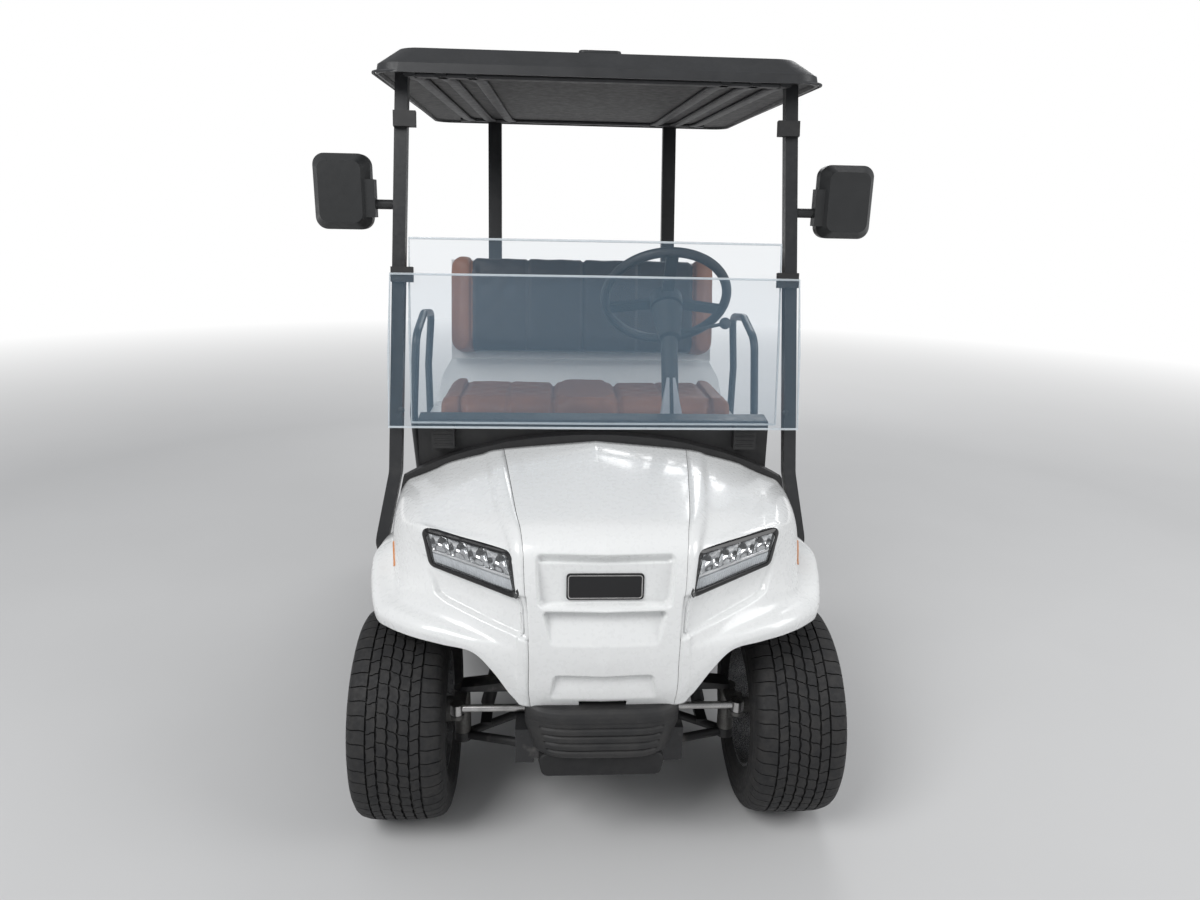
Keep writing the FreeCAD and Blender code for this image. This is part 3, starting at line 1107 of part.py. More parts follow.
def build_top():
    """Posts, roof, windscreen panes with their clamps, and mirrors."""
    foot_z = k.floor_top - 76
    route = [V(k.post_top_x, k.post_top_y, k.roof_lip), V(k.post_kink_x, k.post_kink_y, k.post_kink_z),
             V(k.post_hip_x, k.post_hip_y, k.post_hip_z), V(k.body_half + 18, k.post_foot_y, 480),
             V(k.body_half + 18, k.post_foot_y + 10, foot_z)]
    above = block((-800, 800), (0, 2200), (k.roof_lip + k.liner_rise - k.seat_gap, 2400))
    below = block((-800, 800), (0, 2200), (0, k.rear_top + k.seat_gap))
    front = swept([route[0] + (route[0] - route[1]) * 0.1] + route[1:], 60, k.post_size, k.post_size)
    publish(feature("front_posts", pair(front.cut(above))), "front_posts")
    publish(feature("rear_posts", pair(rear_post().cut([above, below]))), "rear_posts")

    def roof_ring(inset, height):
        front = k.roof_half_front - inset
        back = k.roof_half_back - inset
        near = k.roof_front + inset
        far = k.roof_front + k.roof_long - inset
        return bent_ring([V(-front, near, height), V(front, near, height), V(back, far, height),
                          V(-back, far, height)], 60)

    outer = Part.makeLoft([roof_ring(0, k.roof_lip), roof_ring(4, k.roof_lip + 22),
                           roof_ring(50, k.roof_top - 16), roof_ring(170, k.roof_top)], True, True)
    wall = k.roof_wall
    inner = Part.makeLoft([roof_ring(wall, k.roof_lip - 1), roof_ring(wall + 4, k.roof_lip + 22 - wall),
                           roof_ring(wall + 50, k.roof_top - 16 - wall), roof_ring(170 + wall,
                                                                                   k.roof_top - wall)], True,
                          True)
    publish(feature("roof_canopy", outer.cut(inner)), "roof_canopy")
    sheet_face = Part.Face(roof_ring(wall + 4, k.roof_lip + k.liner_rise))
    publish(feature("roof_liner", sheet_face.extrude(V(0, 0, k.liner_thick))), "roof_liner")

    lean = V(0, k.post_top_y - k.post_kink_y, k.roof_lip - k.post_kink_z).normalize()
    ahead = V(0, -lean.z, lean.y)
    slope = lean.y / lean.z

    def pane(half_low, half_high, low, high, offset):
        start = V(0, k.post_kink_y + (low - k.post_kink_z) * slope, low) + ahead * offset
        rise = lean * ((high - low) / lean.z)
        corners = [start + V(-half_low, 0, 0), start + V(half_low, 0, 0), start + rise + V(half_high, 0, 0),
                   start + rise + V(-half_high, 0, 0)]
        return polygon(corners).extrude(ahead * k.pane_thick)

    lower = pane(k.pane_low_half, k.pane_low_half, k.pane_low_foot, k.pane_low_top,
                 k.post_size / 2 - k.pane_thick)
    publish(feature("windscreen_lower", lower), "windscreen_lower")
    upper = pane(k.fold_half, k.fold_half_top, k.fold_z - k.fold_drop, k.fold_z, k.fold_ahead)
    hinge = V(-k.fold_half_top, k.post_kink_y + (k.fold_z - k.post_kink_z) * slope, k.fold_z)
    bead = Part.makeCylinder(k.pane_thick / 2, 2 * k.fold_half_top,
                             hinge + ahead * (k.fold_ahead + k.pane_thick / 2), V(1, 0, 0))
    publish(feature("windscreen_upper", upper.fuse(bead)), "windscreen_upper")

    def post_middle(height):
        share = (height - k.post_kink_z) / (k.roof_lip - k.post_kink_z)
        return V(k.post_kink_x + (k.post_top_x - k.post_kink_x) * share,
                 k.post_kink_y + (height - k.post_kink_z) * slope, height)

    clamps = []
    for height in (k.fold_z - 18, k.fold_z + k.fold_drop - 26):
        low = post_middle(height) + ahead * (k.post_size / 2 + k.seat_gap)
        deep = k.fold_ahead - k.post_size / 2 - 2 * k.seat_gap
        corners = [low + V(-40, 0, 0), low + V(16, 0, 0), low + V(16, 0, 0) + lean * 38,
                   low + V(-40, 0, 0) + lean * 38]
        clamps.append(polygon(corners).extrude(ahead * deep))
    rest = block((372, 432), (k.dash_front - 28, k.dash_front - k.seat_gap),
                 (k.dash_top - 78, k.dash_top - 12 - k.seat_gap))
    clamps.append(rest)
    publish(feature("windscreen_clamps", pair(Part.makeCompound(clamps))), "windscreen_clamps")

    def mirror_ring(inset, station):
        return bent_ring([V(k.mirror_in + inset, station, k.mirror_low + inset),
                          V(k.mirror_out - inset, station, k.mirror_low + inset),
                          V(k.mirror_out - inset, station, k.mirror_high - inset),
                          V(k.mirror_in + inset, station, k.mirror_high - inset)], 30 - inset / 2)

    face = k.mirror_y + k.mirror_deep / 2
    cup = Part.makeLoft([mirror_ring(0, face), mirror_ring(0, k.mirror_y),
                         mirror_ring(18, face - k.mirror_deep)], True, True)
    glass = Part.Face(mirror_ring(7, face - 3)).extrude(V(0, 10, 0))
    arm_z = k.mirror_low + 63
    hold = post_middle(arm_z)
    arm = swept([hold + V(k.post_size / 2 + 2, 0, 0), V(k.mirror_in + 24, k.mirror_y, arm_z)], 1, 12)
    boss = block((k.mirror_in - 12, k.mirror_in + 16), (k.mirror_y - 20, k.mirror_y + 14),
                 (arm_z - 32, arm_z + 60))
    publish(feature("mirrors", pair(cup.cut(glass).fuse([arm, boss.cut(cup)]))), "mirrors")


build_wheels()
build_steering()
build_front_suspension()
build_frame()
build_rear_gear()
build_front_body()
build_cabin()
build_rear_body()
build_top()
doc.recompute()

for item in doc.Objects:
    if "Invalid" in item.State or "Error" in item.State:
        raise RuntimeError(f"{item.Label} did not recompute: {item.State}")
for part in PARTS:
    if part.Shape.isNull() or not part.Shape.isValid():
        raise RuntimeError(f"{part.Label} has no valid shape")
    part.Shape.exportStep(f"parts/{part.Label}.step")
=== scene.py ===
"""Looks of a two-seat electric golf cart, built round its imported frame. Lengths are in metres."""

import json
import logging
import math
from contextlib import contextmanager
from dataclasses import dataclass
from enum import Enum
from typing import Callable, Iterator, Optional, Sequence

import bmesh
import bpy
import numpy as np
from mathutils import Matrix, Vector
from mathutils.bvhtree import BVHTree


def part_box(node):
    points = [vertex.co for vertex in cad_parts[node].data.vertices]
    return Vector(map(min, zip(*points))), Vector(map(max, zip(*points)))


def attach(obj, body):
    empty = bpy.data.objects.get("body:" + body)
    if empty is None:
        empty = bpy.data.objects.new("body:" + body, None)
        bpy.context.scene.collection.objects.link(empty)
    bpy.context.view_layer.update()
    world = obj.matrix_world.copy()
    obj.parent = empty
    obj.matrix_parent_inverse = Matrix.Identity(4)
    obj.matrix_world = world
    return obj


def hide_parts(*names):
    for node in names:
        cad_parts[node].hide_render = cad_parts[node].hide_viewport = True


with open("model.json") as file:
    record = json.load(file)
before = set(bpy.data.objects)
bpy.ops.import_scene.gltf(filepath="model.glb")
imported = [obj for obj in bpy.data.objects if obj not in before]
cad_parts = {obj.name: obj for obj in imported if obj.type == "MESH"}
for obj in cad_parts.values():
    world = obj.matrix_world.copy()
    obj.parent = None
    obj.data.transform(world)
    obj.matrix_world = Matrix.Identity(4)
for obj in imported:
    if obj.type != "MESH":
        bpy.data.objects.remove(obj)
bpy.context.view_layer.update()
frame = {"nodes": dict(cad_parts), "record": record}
LOG = logging.getLogger("golf_cart")
Piece = bpy.types.Object
Material = bpy.types.Material
Socket = bpy.types.NodeSocket
Colour = tuple[float, float, float]
Point = tuple[float, float, float]
Flat = tuple[float, float]
Face = tuple[int, ...]

# Driving places, read from the frame. Y is counted from the front axle in the builders below.
AXLE_Y = sum(corner.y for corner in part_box("tyre_front_left")) / 2
TYRE_RADIUS = (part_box("tyre_front_left")[1].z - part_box("tyre_front_left")[0].z) / 2
WHEELS = ("front_left", "front_right", "rear_left", "rear_right")


class Axis(Enum):
    """Axis of the cart's frame, with its place in a point."""

    X = 0
    Y = 1
    Z = 2


class Cells(Enum):
    """Reading of a pattern of cells."""

    NEAREST = "F1"
    SMOOTH = "SMOOTH_F1"


def at(x: float, y: float, z: float) -> Vector:
    """Point given from the front axle's line on the ground, in the cart's frame."""
    return Vector((x, y + AXLE_Y, z))


class Board:
    """Node tree of one material, with short ways to add and wire its nodes."""

    def __init__(self, name: str) -> None:
        """Start a material that holds one surface shader.

        Args:
            name: The material's name.
        """
        self.material = bpy.data.materials.new(name)
        self.material.use_nodes = True
        self.tree = self.material.node_tree
        self.tree.nodes.clear()
        self.surface = self.add("ShaderNodeBsdfPrincipled")
        out = self.add("ShaderNodeOutputMaterial")
        self.wire(self.surface.outputs[0], out.inputs[0])
        self.place = self.add("ShaderNodeTexCoord").outputs["Object"]

    def add(self, kind: str, **settings: object) -> bpy.types.Node:
        """Add a node and set its properties.

        Args:
            kind: The node's type name.
            settings: Property names with their values.

        Returns:
            The new node.
        """
        node = self.tree.nodes.new(kind)
        for key, value in settings.items():
            setattr(node, key, value)
        return node

    def wire(self, source: Socket, target: Socket) -> None:
        """Link an output to an input."""
        self.tree.links.new(source, target)

    def set(self, **values: object) -> None:
        """Set constants on the surface shader, with underscores for spaces in the socket names."""
        for key, value in values.items():
            socket = self.surface.inputs[key.replace("_", " ")]
            socket.default_value = (*value, 1.0) if isinstance(value, tuple) else value

    def stretched(self, scale: Point) -> Socket:
        """Object coordinates scaled along each axis.

        Args:
            scale: Scale along x, y and z.

        Returns:
            The scaled coordinates.
        """
        mapping = self.add("ShaderNodeMapping")
        mapping.inputs["Scale"].default_value = scale
        self.wire(self.place, mapping.inputs["Vector"])
        return mapping.outputs[0]

    def noise(self, size: float, detail: float = 3.0, stretch: Optional[Point] = None) -> Socket:
        """Cloudy noise.

        Args:
            size: Size of its features.
            detail: Octaves of finer noise.
            stretch: Scale along each axis, for brushed or ribbed noise.

        Returns:
            The noise value, from 0 to 1.
        """
        node = self.add("ShaderNodeTexNoise")
        node.inputs["Scale"].default_value = 1 / size
        node.inputs["Detail"].default_value = detail
        self.wire(self.stretched(stretch) if stretch else self.place, node.inputs["Vector"])
        return node.outputs[0]

    def cloud(self, size: float, start: float = 0.0, end: float = 1.0, detail: float = 3.0) -> Socket:
        """Soft patches of a given size, from a start value to an end value."""
        return self.spread(self.noise(size, detail), 0.3, 0.7, start, end)

    def cells(self, size: float, reading: Cells = Cells.NEAREST) -> Socket:
        """Distance inside a pattern of cells.

        Args:
            size: Size of a cell.
            reading: How the distance is read.

        Returns:
            The distance.
        """
        node = self.add("ShaderNodeTexVoronoi", feature=reading.value)
        node.inputs["Scale"].default_value = 1 / size
        self.wire(self.place, node.inputs["Vector"])
        return node.outputs[0]

    def height(self) -> Socket:
        """Read how high the shaded point stands.

        Returns:
            Its height above the ground.
        """
        node = self.add("ShaderNodeSeparateXYZ")
        self.wire(self.place, node.inputs[0])
        return node.outputs[2]

    def maths(self, operation: str, first: Socket, second: Socket | float) -> Socket:
        """Combine two values.

        Args:
            operation: The maths node's operation.
            first: First value.
            second: Second value, driven or constant.

        Returns:
            The result.
        """
        node = self.add("ShaderNodeMath", operation=operation)
        self.wire(first, node.inputs[0])
        if isinstance(second, (int, float)):
            node.inputs[1].default_value = second
        else:
            self.wire(second, node.inputs[1])
        return node.outputs[0]

    def spread(self, value: Socket, low: float, high: float, start: float = 0.0, end: float = 1.0) -> Socket:
        """Map a value from one range to another, held at its ends.

        Args:
            value: The value.
            low: Value that gives the start.
            high: Value that gives the end.
            start: Result at the low value.
            end: Result at the high value.

        Returns:
            The mapped value.
        """
        node = self.add("ShaderNodeMapRange")
        for index, number in enumerate((low, high, start, end), 1):
            node.inputs[index].default_value = number
        self.wire(value, node.inputs[0])
        return node.outputs[0]

    def blend(self, share: Socket, first: Colour | Socket, second: Colour | Socket) -> Socket:
        """Mix two colours.

        Args:
            share: Share of the second colour, from 0 to 1.
            first: First colour, driven or constant.
            second: Second colour, driven or constant.

        Returns:
            The mixed colour.
        """
        node = self.add("ShaderNodeMix", data_type="RGBA")
        self.wire(share, node.inputs[0])
        for index, colour in ((6, first), (7, second)):
            if isinstance(colour, tuple):
                node.inputs[index].default_value = (*colour, 1.0)
            else:
                self.wire(colour, node.inputs[index])
        return node.outputs[2]

    def colour(self, source: Socket) -> None:
        """Drive the surface's colour."""
        self.wire(source, self.surface.inputs["Base Color"])

    def roughness(self, source: Socket) -> None:
        """Drive the surface's roughness."""
        self.wire(source, self.surface.inputs["Roughness"])

    def bump(self, height: Socket, depth: float, strength: float = 1.0) -> None:
        """Raise the surface by a height map.

        Args:
            height: Height from 0 to 1.
            depth: How far 1 stands above 0.
            strength: Share of the effect.
        """
        node = self.add("ShaderNodeBump")
        node.inputs["Strength"].default_value = strength
        node.inputs["Distance"].default_value = depth
        self.wire(height, node.inputs["Height"])
        target = self.surface.inputs["Normal"]
        if target.is_linked:
            self.wire(target.links[0].from_socket, node.inputs["Normal"])
        self.wire(node.outputs[0], target)


def darker(colour: Colour, share: float) -> Colour:
    """A colour scaled by a share."""
    return tuple(channel * share for channel in colour)


@dataclass(frozen=True)
class MouldedPlastic:
    """Grained or satin moulded plastic, with dust that gathers low on the cart."""

    name: str
    colour: Colour
    rough: float = 0.5
    grain: float = 0.0012
    grain_depth: float = 0.00025
    dust: float = 0.10

    def make(self) -> Material:
        """Build the material.

        Returns:
            The material.
        """
        board = Board(self.name)
        tone = board.blend(board.cloud(0.09), darker(self.colour, 0.86), darker(self.colour, 1.14))
        low = board.spread(board.height(), 0.05, 0.7, self.dust, self.dust * 0.25)
        patches = board.maths("MULTIPLY", low, board.spread(board.noise(0.05, 5), 0.35, 0.75))
        board.colour(board.blend(patches, tone, (0.36, 0.33, 0.29)))
        board.roughness(board.cloud(0.02, self.rough - 0.06, self.rough + 0.08))
        board.bump(board.cells(self.grain), self.grain_depth, 0.5)
        return board.material


@dataclass(frozen=True)
class PearlPaint:
    """Clear-coated pearl white over moulded body panels."""

    name: str
    colour: Colour = (0.86, 0.87, 0.865)
    flake: float = 0.0009

    def make(self) -> Material:
        """Build the material.

        Returns:
            The material.
        """
        board = Board(self.name)
        board.set(Coat_Weight=0.8, Coat_Roughness=0.10, IOR=1.5)
        tone = board.blend(board.cloud(0.35, detail=2), darker(self.colour, 0.965), self.colour)
        flakes = board.spread(board.cells(self.flake), 0.15, 0.6, 0.0, 0.03)
        tone = board.blend(flakes, tone, (0.88, 0.89, 0.90))
        road = board.spread(board.height(), 0.42, 0.62, 0.07, 0.0)
        film = board.maths("MULTIPLY", road, board.spread(board.noise(0.03, 5), 0.35, 0.7))
        board.colour(board.blend(film, tone, (0.45, 0.41, 0.36)))
        board.roughness(board.cloud(0.012, 0.24, 0.34))
        board.bump(board.noise(0.03, 2), 0.0001, 0.06)
        return board.material


@dataclass(frozen=True)
class PaintedSteel:
    """Powder coat over steel tube, with its fine orange peel and bare scuffs."""

    name: str
    colour: Colour
    rough: float = 0.38
    scuffs: float = 0.10

    def make(self) -> Material:
        """Build the material.

        Returns:
            The material.
        """
        board = Board(self.name)
        board.set(Coat_Weight=0.15, Coat_Roughness=0.3)
        patch = board.spread(board.noise(0.04, 6), 0.58, 0.72, 0.0, self.scuffs)
        tone = board.blend(board.cloud(0.15), darker(self.colour, 0.85), self.colour)
        board.colour(board.blend(patch, tone, (0.30, 0.28, 0.26)))
        board.roughness(board.cloud(0.01, self.rough - 0.07, self.rough + 0.1))
        board.bump(board.noise(0.0022, 2), 0.0002, 0.35)
        return board.material


@dataclass(frozen=True)
class BareMetal:
    """Machined, cast or plated metal."""

    name: str
    colour: Colour
    rough: float = 0.3
    grit: float = 0.004
    grit_depth: float = 0.0003
    brushed: Optional[Point] = None

    def make(self) -> Material:
        """Build the material.

        Returns:
            The material.
        """
        board = Board(self.name)
        board.set(Metallic=1.0)
        stain = board.spread(board.noise(0.03, 5), 0.35, 0.7)
        board.colour(board.blend(stain, darker(self.colour, 0.72), self.colour))
        streak = board.noise(self.grit, 4, self.brushed)
        board.roughness(board.spread(streak, 0.25, 0.75, self.rough * 0.75, self.rough * 1.35))
        board.bump(streak, self.grit_depth, 0.3)
        return board.material


@dataclass(frozen=True)
class Rubber:
    """Tyre or grip rubber, greyed by road dust."""

    name: str
    colour: Colour = (0.013, 0.013, 0.014)
    rough: float = 0.72
    dust: float = 0.07

    def make(self) -> Material:
        """Build the material.

        Returns:
            The material.
        """
        board = Board(self.name)
        worn = board.spread(board.noise(0.025, 6), 0.38, 0.72, 0.0, self.dust)
        tone = board.blend(board.noise(0.12), darker(self.colour, 0.8), darker(self.colour, 1.3))
        board.colour(board.blend(worn, tone, (0.20, 0.18, 0.155)))
        board.roughness(board.cloud(0.01, self.rough - 0.08, self.rough + 0.1))
        board.bump(board.noise(0.0016, 3), 0.0003, 0.5)
        return board.material


@dataclass(frozen=True)
class GrainedVinyl:
    """Seat vinyl with its pebbled grain, fine creases and soft sheen."""

    name: str
    colour: Colour
    grain: float = 0.0026

    def make(self) -> Material:
        """Build the material.

        Returns:
            The material.
        """
        board = Board(self.name)
        board.set(Sheen_Weight=0.08, Sheen_Roughness=0.4, Specular_IOR_Level=0.4)
        pebble = board.cells(self.grain, Cells.SMOOTH)
        tone = board.blend(board.cloud(0.07, detail=4), darker(self.colour, 0.84), darker(self.colour, 1.1))
        board.colour(board.blend(board.spread(pebble, 0.2, 0.8), tone, darker(self.colour, 0.7)))
        board.roughness(board.spread(pebble, 0.1, 0.7, 0.42, 0.60))
        board.bump(pebble, 0.0005, 0.5)
        board.bump(board.noise(0.035, 5), 0.0016, 0.35)
        return board.material


@dataclass(frozen=True)
class ClearSheet:
    """Clear pane or lens: a thin tinted film with faint wiping streaks."""

    name: str
    colour: Colour
    cover: float
    rough: float = 0.03

    def make(self) -> Material:
        """Build the material.

        Returns:
            The material.
        """
        board = Board(self.name)
        board.set(Alpha=self.cover, IOR=1.5, Coat_Weight=0.5, Coat_Roughness=0.02)
        streaks = board.spread(board.noise(0.02, 4, (1.0, 4.0, 0.3)), 0.35, 0.75)
        board.colour(board.blend(streaks, self.colour, darker(self.colour, 0.9)))
        board.roughness(board.spread(streaks, 0.0, 1.0, self.rough, self.rough + 0.06))
        board.bump(board.noise(0.25, 1), 0.0004, 0.2)
        return board.material


class Finishes:
    """Every finish of the cart, made once and kept by name."""

    def __init__(self) -> None:
        """Make each finish of the cart."""
        charcoal = (0.020, 0.021, 0.023)
        finishes = (
            PearlPaint("pearl_white"),
            PearlPaint("seat_shell_white", (0.76, 0.76, 0.75)),
            MouldedPlastic("roof_black", (0.024, 0.025, 0.027), 0.46, 0.0016, 0.00018, 0.04),
            MouldedPlastic("liner_dark", (0.010, 0.010, 0.011), 0.62, 0.002, 0.0002, 0.02),
            MouldedPlastic("black_trim", (0.014, 0.014, 0.015), 0.5),
            MouldedPlastic("bumper_black", (0.016, 0.016, 0.017), 0.55, 0.0018, 0.0004, 0.08),
            MouldedPlastic("dash_dark", (0.020, 0.020, 0.021), 0.5),
            MouldedPlastic("mirror_shell", (0.017, 0.018, 0.019), 0.42, 0.0011, 0.00012, 0.02),
            MouldedPlastic("seat_board", (0.030, 0.030, 0.032), 0.6),
            MouldedPlastic("battery_case", (0.045, 0.045, 0.048), 0.5, 0.004, 0.0004, 0.2),
            MouldedPlastic("lamp_black", (0.008, 0.008, 0.009), 0.16, 0.01, 0.00002, 0.0),
            MouldedPlastic("plate_black", (0.006, 0.006, 0.007), 0.12, 0.01, 0.00002, 0.0),
            MouldedPlastic("tail_red", (0.42, 0.008, 0.010), 0.14, 0.006, 0.0004, 0.0),
            PaintedSteel("post_black", charcoal, 0.36, 0.03),
            PaintedSteel("frame_black", (0.022, 0.022, 0.024), 0.5, 0.25),
            PaintedSteel("suspension_black", (0.026, 0.026, 0.027), 0.5, 0.3),
            PaintedSteel("motor_black", (0.030, 0.030, 0.032), 0.45, 0.2),
            BareMetal("cast_grey", (0.24, 0.235, 0.225), 0.62, 0.003, 0.0006),
            BareMetal("bright_steel", (0.62, 0.61, 0.60), 0.28, 0.003, 0.0001, (1.0, 30.0, 30.0)),
            BareMetal("alloy", (0.66, 0.66, 0.67), 0.25, 0.002, 0.00008),
            Rubber("tyre_black"),
            Rubber("pedal_rubber", (0.020, 0.020, 0.020), 0.6, 0.3),
            Rubber("floor_mat", (0.026, 0.026, 0.027), 0.7, 0.35),
            Rubber("wheel_grip", (0.016, 0.016, 0.017), 0.48, 0.02),
            GrainedVinyl("tan_vinyl", (0.30, 0.125, 0.062)),
            # Darker vinyl drawn on the seat back's centre than on its sides.
            GrainedVinyl("seat_centre_vinyl", (0.030, 0.022, 0.020)),
            BareMetal("chrome", (0.86, 0.87, 0.88), 0.10, 0.004, 0.00004),
            BareMetal("mirror_glass", (0.80, 0.82, 0.84), 0.05, 0.2, 0.00002),
            # Lighter grey of the ridges and drip edge under the roof: painted highlight on the black liner.
            MouldedPlastic("liner_ridge_highlight", (0.032, 0.033, 0.036), 0.55, 0.002, 0.0002, 0.0),
            MouldedPlastic("panel_grey", (0.42, 0.43, 0.45), 0.45, 0.002, 0.0002, 0.0),
            MouldedPlastic("marker_amber", (0.62, 0.20, 0.03), 0.25, 0.004, 0.0002, 0.0),
            MouldedPlastic("webbing", (0.014, 0.014, 0.015), 0.8, 0.0022, 0.0006, 0.0),
            ClearSheet("lamp_frosted", (0.66, 0.69, 0.72), 0.82, 0.16),
            # Pale, nearly opaque pane edges: painted highlight of the light caught in the polished edges.
            ClearSheet("pane_edge_highlight", (0.74, 0.80, 0.84), 0.62),
            ClearSheet("clear_pane", (0.28, 0.42, 0.55), 0.085),
            ClearSheet("lamp_lens", (0.85, 0.88, 0.90), 0.10),
        )
        self.kept = {finish.name: finish.make() for finish in finishes}

    def __getitem__(self, name: str) -> Material:
        """The material of a finish."""
        return self.kept[name]


# Moulded CAD nodes whose edges are rounded in the scene, with the radius
ROUNDED_EDGES = {"rear_body": 0.006, "seat_pod": 0.004, "seat_back_shell": 0.004, "rear_bumper": 0.004,
                 "roof_canopy": 0.004, "dash": 0.004, "mirrors": 0.003, "bag_well": 0.003, "basket": 0.002,
                 "rocker_panels": 0.004, "tail_lights": 0.003, "windscreen_clamps": 0.002,
                 "steering_column": 0.002, "pedals": 0.002}
SHARP_ANGLE = 32.0


def round_edges(name: str, radius: float, angle: float = 30.0) -> None:
    """Round the sharp edges of a CAD node.

    Args:
        name: The node's name.
        radius: Width of the rounding.
        angle: Least angle of a sharp edge, in degrees.
    """
    bevel = frame["nodes"][name].modifiers.new("edges", "BEVEL")
    bevel.width, bevel.segments, bevel.limit_method = radius, 2, "ANGLE"
    bevel.angle_limit = math.radians(angle)


def dress(finishes: Finishes) -> None:
    """Give every CAD node its recorded finish, and rounded edges to the moulded ones.

    Args:
        finishes: The cart's finishes.
    """
    for name, radius in ROUNDED_EDGES.items():
        round_edges(name, radius, SHARP_ANGLE)
    for row in frame["record"]["subparts"]:
        node = frame["nodes"][row["node"]]
        node.data.materials.clear()
        node.data.materials.append(finishes[row["material_slot"]])


@dataclass
class Studio:
    """Pale floor, soft lamps and the camera at the photograph's place."""

    camera_place: Point = (-0.12, -1.928, 1.505)
    yaw: float = 0.061
    pitch: float = 0.279
    roll: float = -0.021
    focal_pixels: float = 848.4
    image_width: float = 1200.0
    sensor: float = 36.0
    floor_radius: float = 60.0
    fade: Flat = (3.5, 9.0)
    sky_strength: float = 0.42
    sky_colour: Colour = (0.95, 0.97, 1.0)
    lamp_side: float = 3.0
    lamp_aim: Point = (0.0, 0.0, 0.8)
    # Lamps: name, place and power
    lamps: tuple[tuple[str, Point, float], ...] = (
        ("key_lamp", (-3.2, -4.2, 5.0), 230.0),
        ("fill_lamp", (4.5, -2.5, 3.2), 100.0),
        ("back_lamp", (1.5, 5.0, 4.5), 120.0),
    )

    def camera(self) -> None:
        """Place the camera as it stood for the photograph."""
        data = bpy.data.cameras.new("camera")
        data.sensor_width = self.sensor
        data.lens = self.sensor * self.focal_pixels / self.image_width
        seen = bpy.data.objects.new("camera", data)
        bpy.context.scene.collection.objects.link(seen)
        level = Vector((math.sin(self.yaw), math.cos(self.yaw), 0.0))
        right = Vector((math.cos(self.yaw), -math.sin(self.yaw), 0.0))
        rise = Vector((0.0, 0.0, 1.0))
        ahead = math.cos(self.pitch) * level - math.sin(self.pitch) * rise
        above = math.sin(self.pitch) * level + math.cos(self.pitch) * rise
        across = math.cos(self.roll) * right - math.sin(self.roll) * above
        above = math.sin(self.roll) * right + math.cos(self.roll) * above
        turn = Matrix((across, above, -ahead)).transposed()
        seen.matrix_world = Matrix.Translation(at(*self.camera_place)) @ turn.to_4x4()
        bpy.context.scene.camera = seen

    def floor(self) -> None:
        """Lay the pale floor, which fades into the white background away from the cart."""
        mesh = bpy.data.meshes.new("floor")
        with reshaping(mesh) as shape:
            bmesh.ops.create_circle(shape, cap_ends=True, radius=self.floor_radius, segments=96)
        floor = bpy.data.objects.new("floor", mesh)
        bpy.context.scene.collection.objects.link(floor)
        board = Board("floor_pale")
        board.set(Roughness=0.9, Specular_IOR_Level=0.1)
        board.colour(board.blend(board.noise(0.8), (0.60, 0.60, 0.60), (0.64, 0.64, 0.64)))
        reach = board.add("ShaderNodeVectorMath", operation="LENGTH")
        board.wire(board.place, reach.inputs[0])
        share = board.spread(reach.outputs["Value"], *self.fade)
        glow = board.add("ShaderNodeEmission")
        path = board.add("ShaderNodeLightPath")
        seen = board.maths("MAXIMUM", path.outputs["Is Camera Ray"], path.outputs["Is Transmission Ray"])
        seen = board.maths("MAXIMUM", seen, path.outputs["Is Glossy Ray"])
        mix = board.add("ShaderNodeMixShader")
        board.wire(board.maths("MULTIPLY", share, seen), mix.inputs[0])
        board.wire(board.surface.outputs[0], mix.inputs[1])
        board.wire(glow.outputs[0], mix.inputs[2])
        out = next(node for node in board.tree.nodes if node.type == "OUTPUT_MATERIAL")
        board.wire(mix.outputs[0], out.inputs[0])
        mesh.materials.append(board.material)

    def world(self) -> None:
        """Soft white light all round, seen by the camera and in reflections as plain white."""
        world = bpy.data.worlds.new("studio")
        bpy.context.scene.world = world
        world.use_nodes = True
        tree = world.node_tree
        tree.nodes.clear()
        path, light, seen, either, mix, out = [tree.nodes.new(f"ShaderNode{kind}") for kind in (
            "LightPath", "Background", "Background", "Math", "MixShader", "OutputWorld")]
        light.inputs["Strength"].default_value = self.sky_strength
        light.inputs["Color"].default_value = (*self.sky_colour, 1.0)
        seen.inputs["Color"].default_value = (1.0, 1.0, 1.0, 1.0)
        either.operation = "MAXIMUM"
        wires = ((path.outputs["Is Camera Ray"], either.inputs[0]),
                 (path.outputs["Is Transmission Ray"], either.inputs[1]), (either.outputs[0], mix.inputs[0]),
                 (light.outputs[0], mix.inputs[1]), (seen.outputs[0], mix.inputs[2]),
                 (mix.outputs[0], out.inputs[0]))
        for source, target in wires:
            tree.links.new(source, target)

    def lamp(self, name: str, place: Point, watts: float) -> None:
        """Hang a square soft lamp that faces the cart's middle.

        Args:
            name: The lamp's name.
            place: Its place.
            watts: Its power.
        """
        data = bpy.data.lights.new(name, "AREA")
        data.shape = "SQUARE"
        data.size = self.lamp_side
        data.energy = watts
        lamp = bpy.data.objects.new(name, data)
        bpy.context.scene.collection.objects.link(lamp)
        lamp.location = place
        aim = Vector(self.lamp_aim) - Vector(place)
        lamp.rotation_mode = "QUATERNION"
        lamp.rotation_quaternion = aim.to_track_quat("-Z", "Y")

    def build(self) -> None:
        """Set up the whole studio."""
        self.camera()
        self.floor()
        self.world()
        for name, place, watts in self.lamps:
            self.lamp(name, place, watts)
        bpy.context.scene.view_settings.view_transform = "Standard"


@contextmanager
def reshaping(mesh: bpy.types.Mesh) -> Iterator[bmesh.types.BMesh]:
    """Open a mesh for a change of its shape, and write it back.

    Args:
        mesh: The mesh.

    Yields:
        Its editable form.
    """
    shape = bmesh.new()
    shape.from_mesh(mesh)
    yield shape
    shape.to_mesh(mesh)
    shape.free()


def sided(side: int, spot: Vector) -> Vector:
    """A point of the driver's side, or its mirror image if the side is -1."""
    return Vector((spot.x * side, spot.y, spot.z))


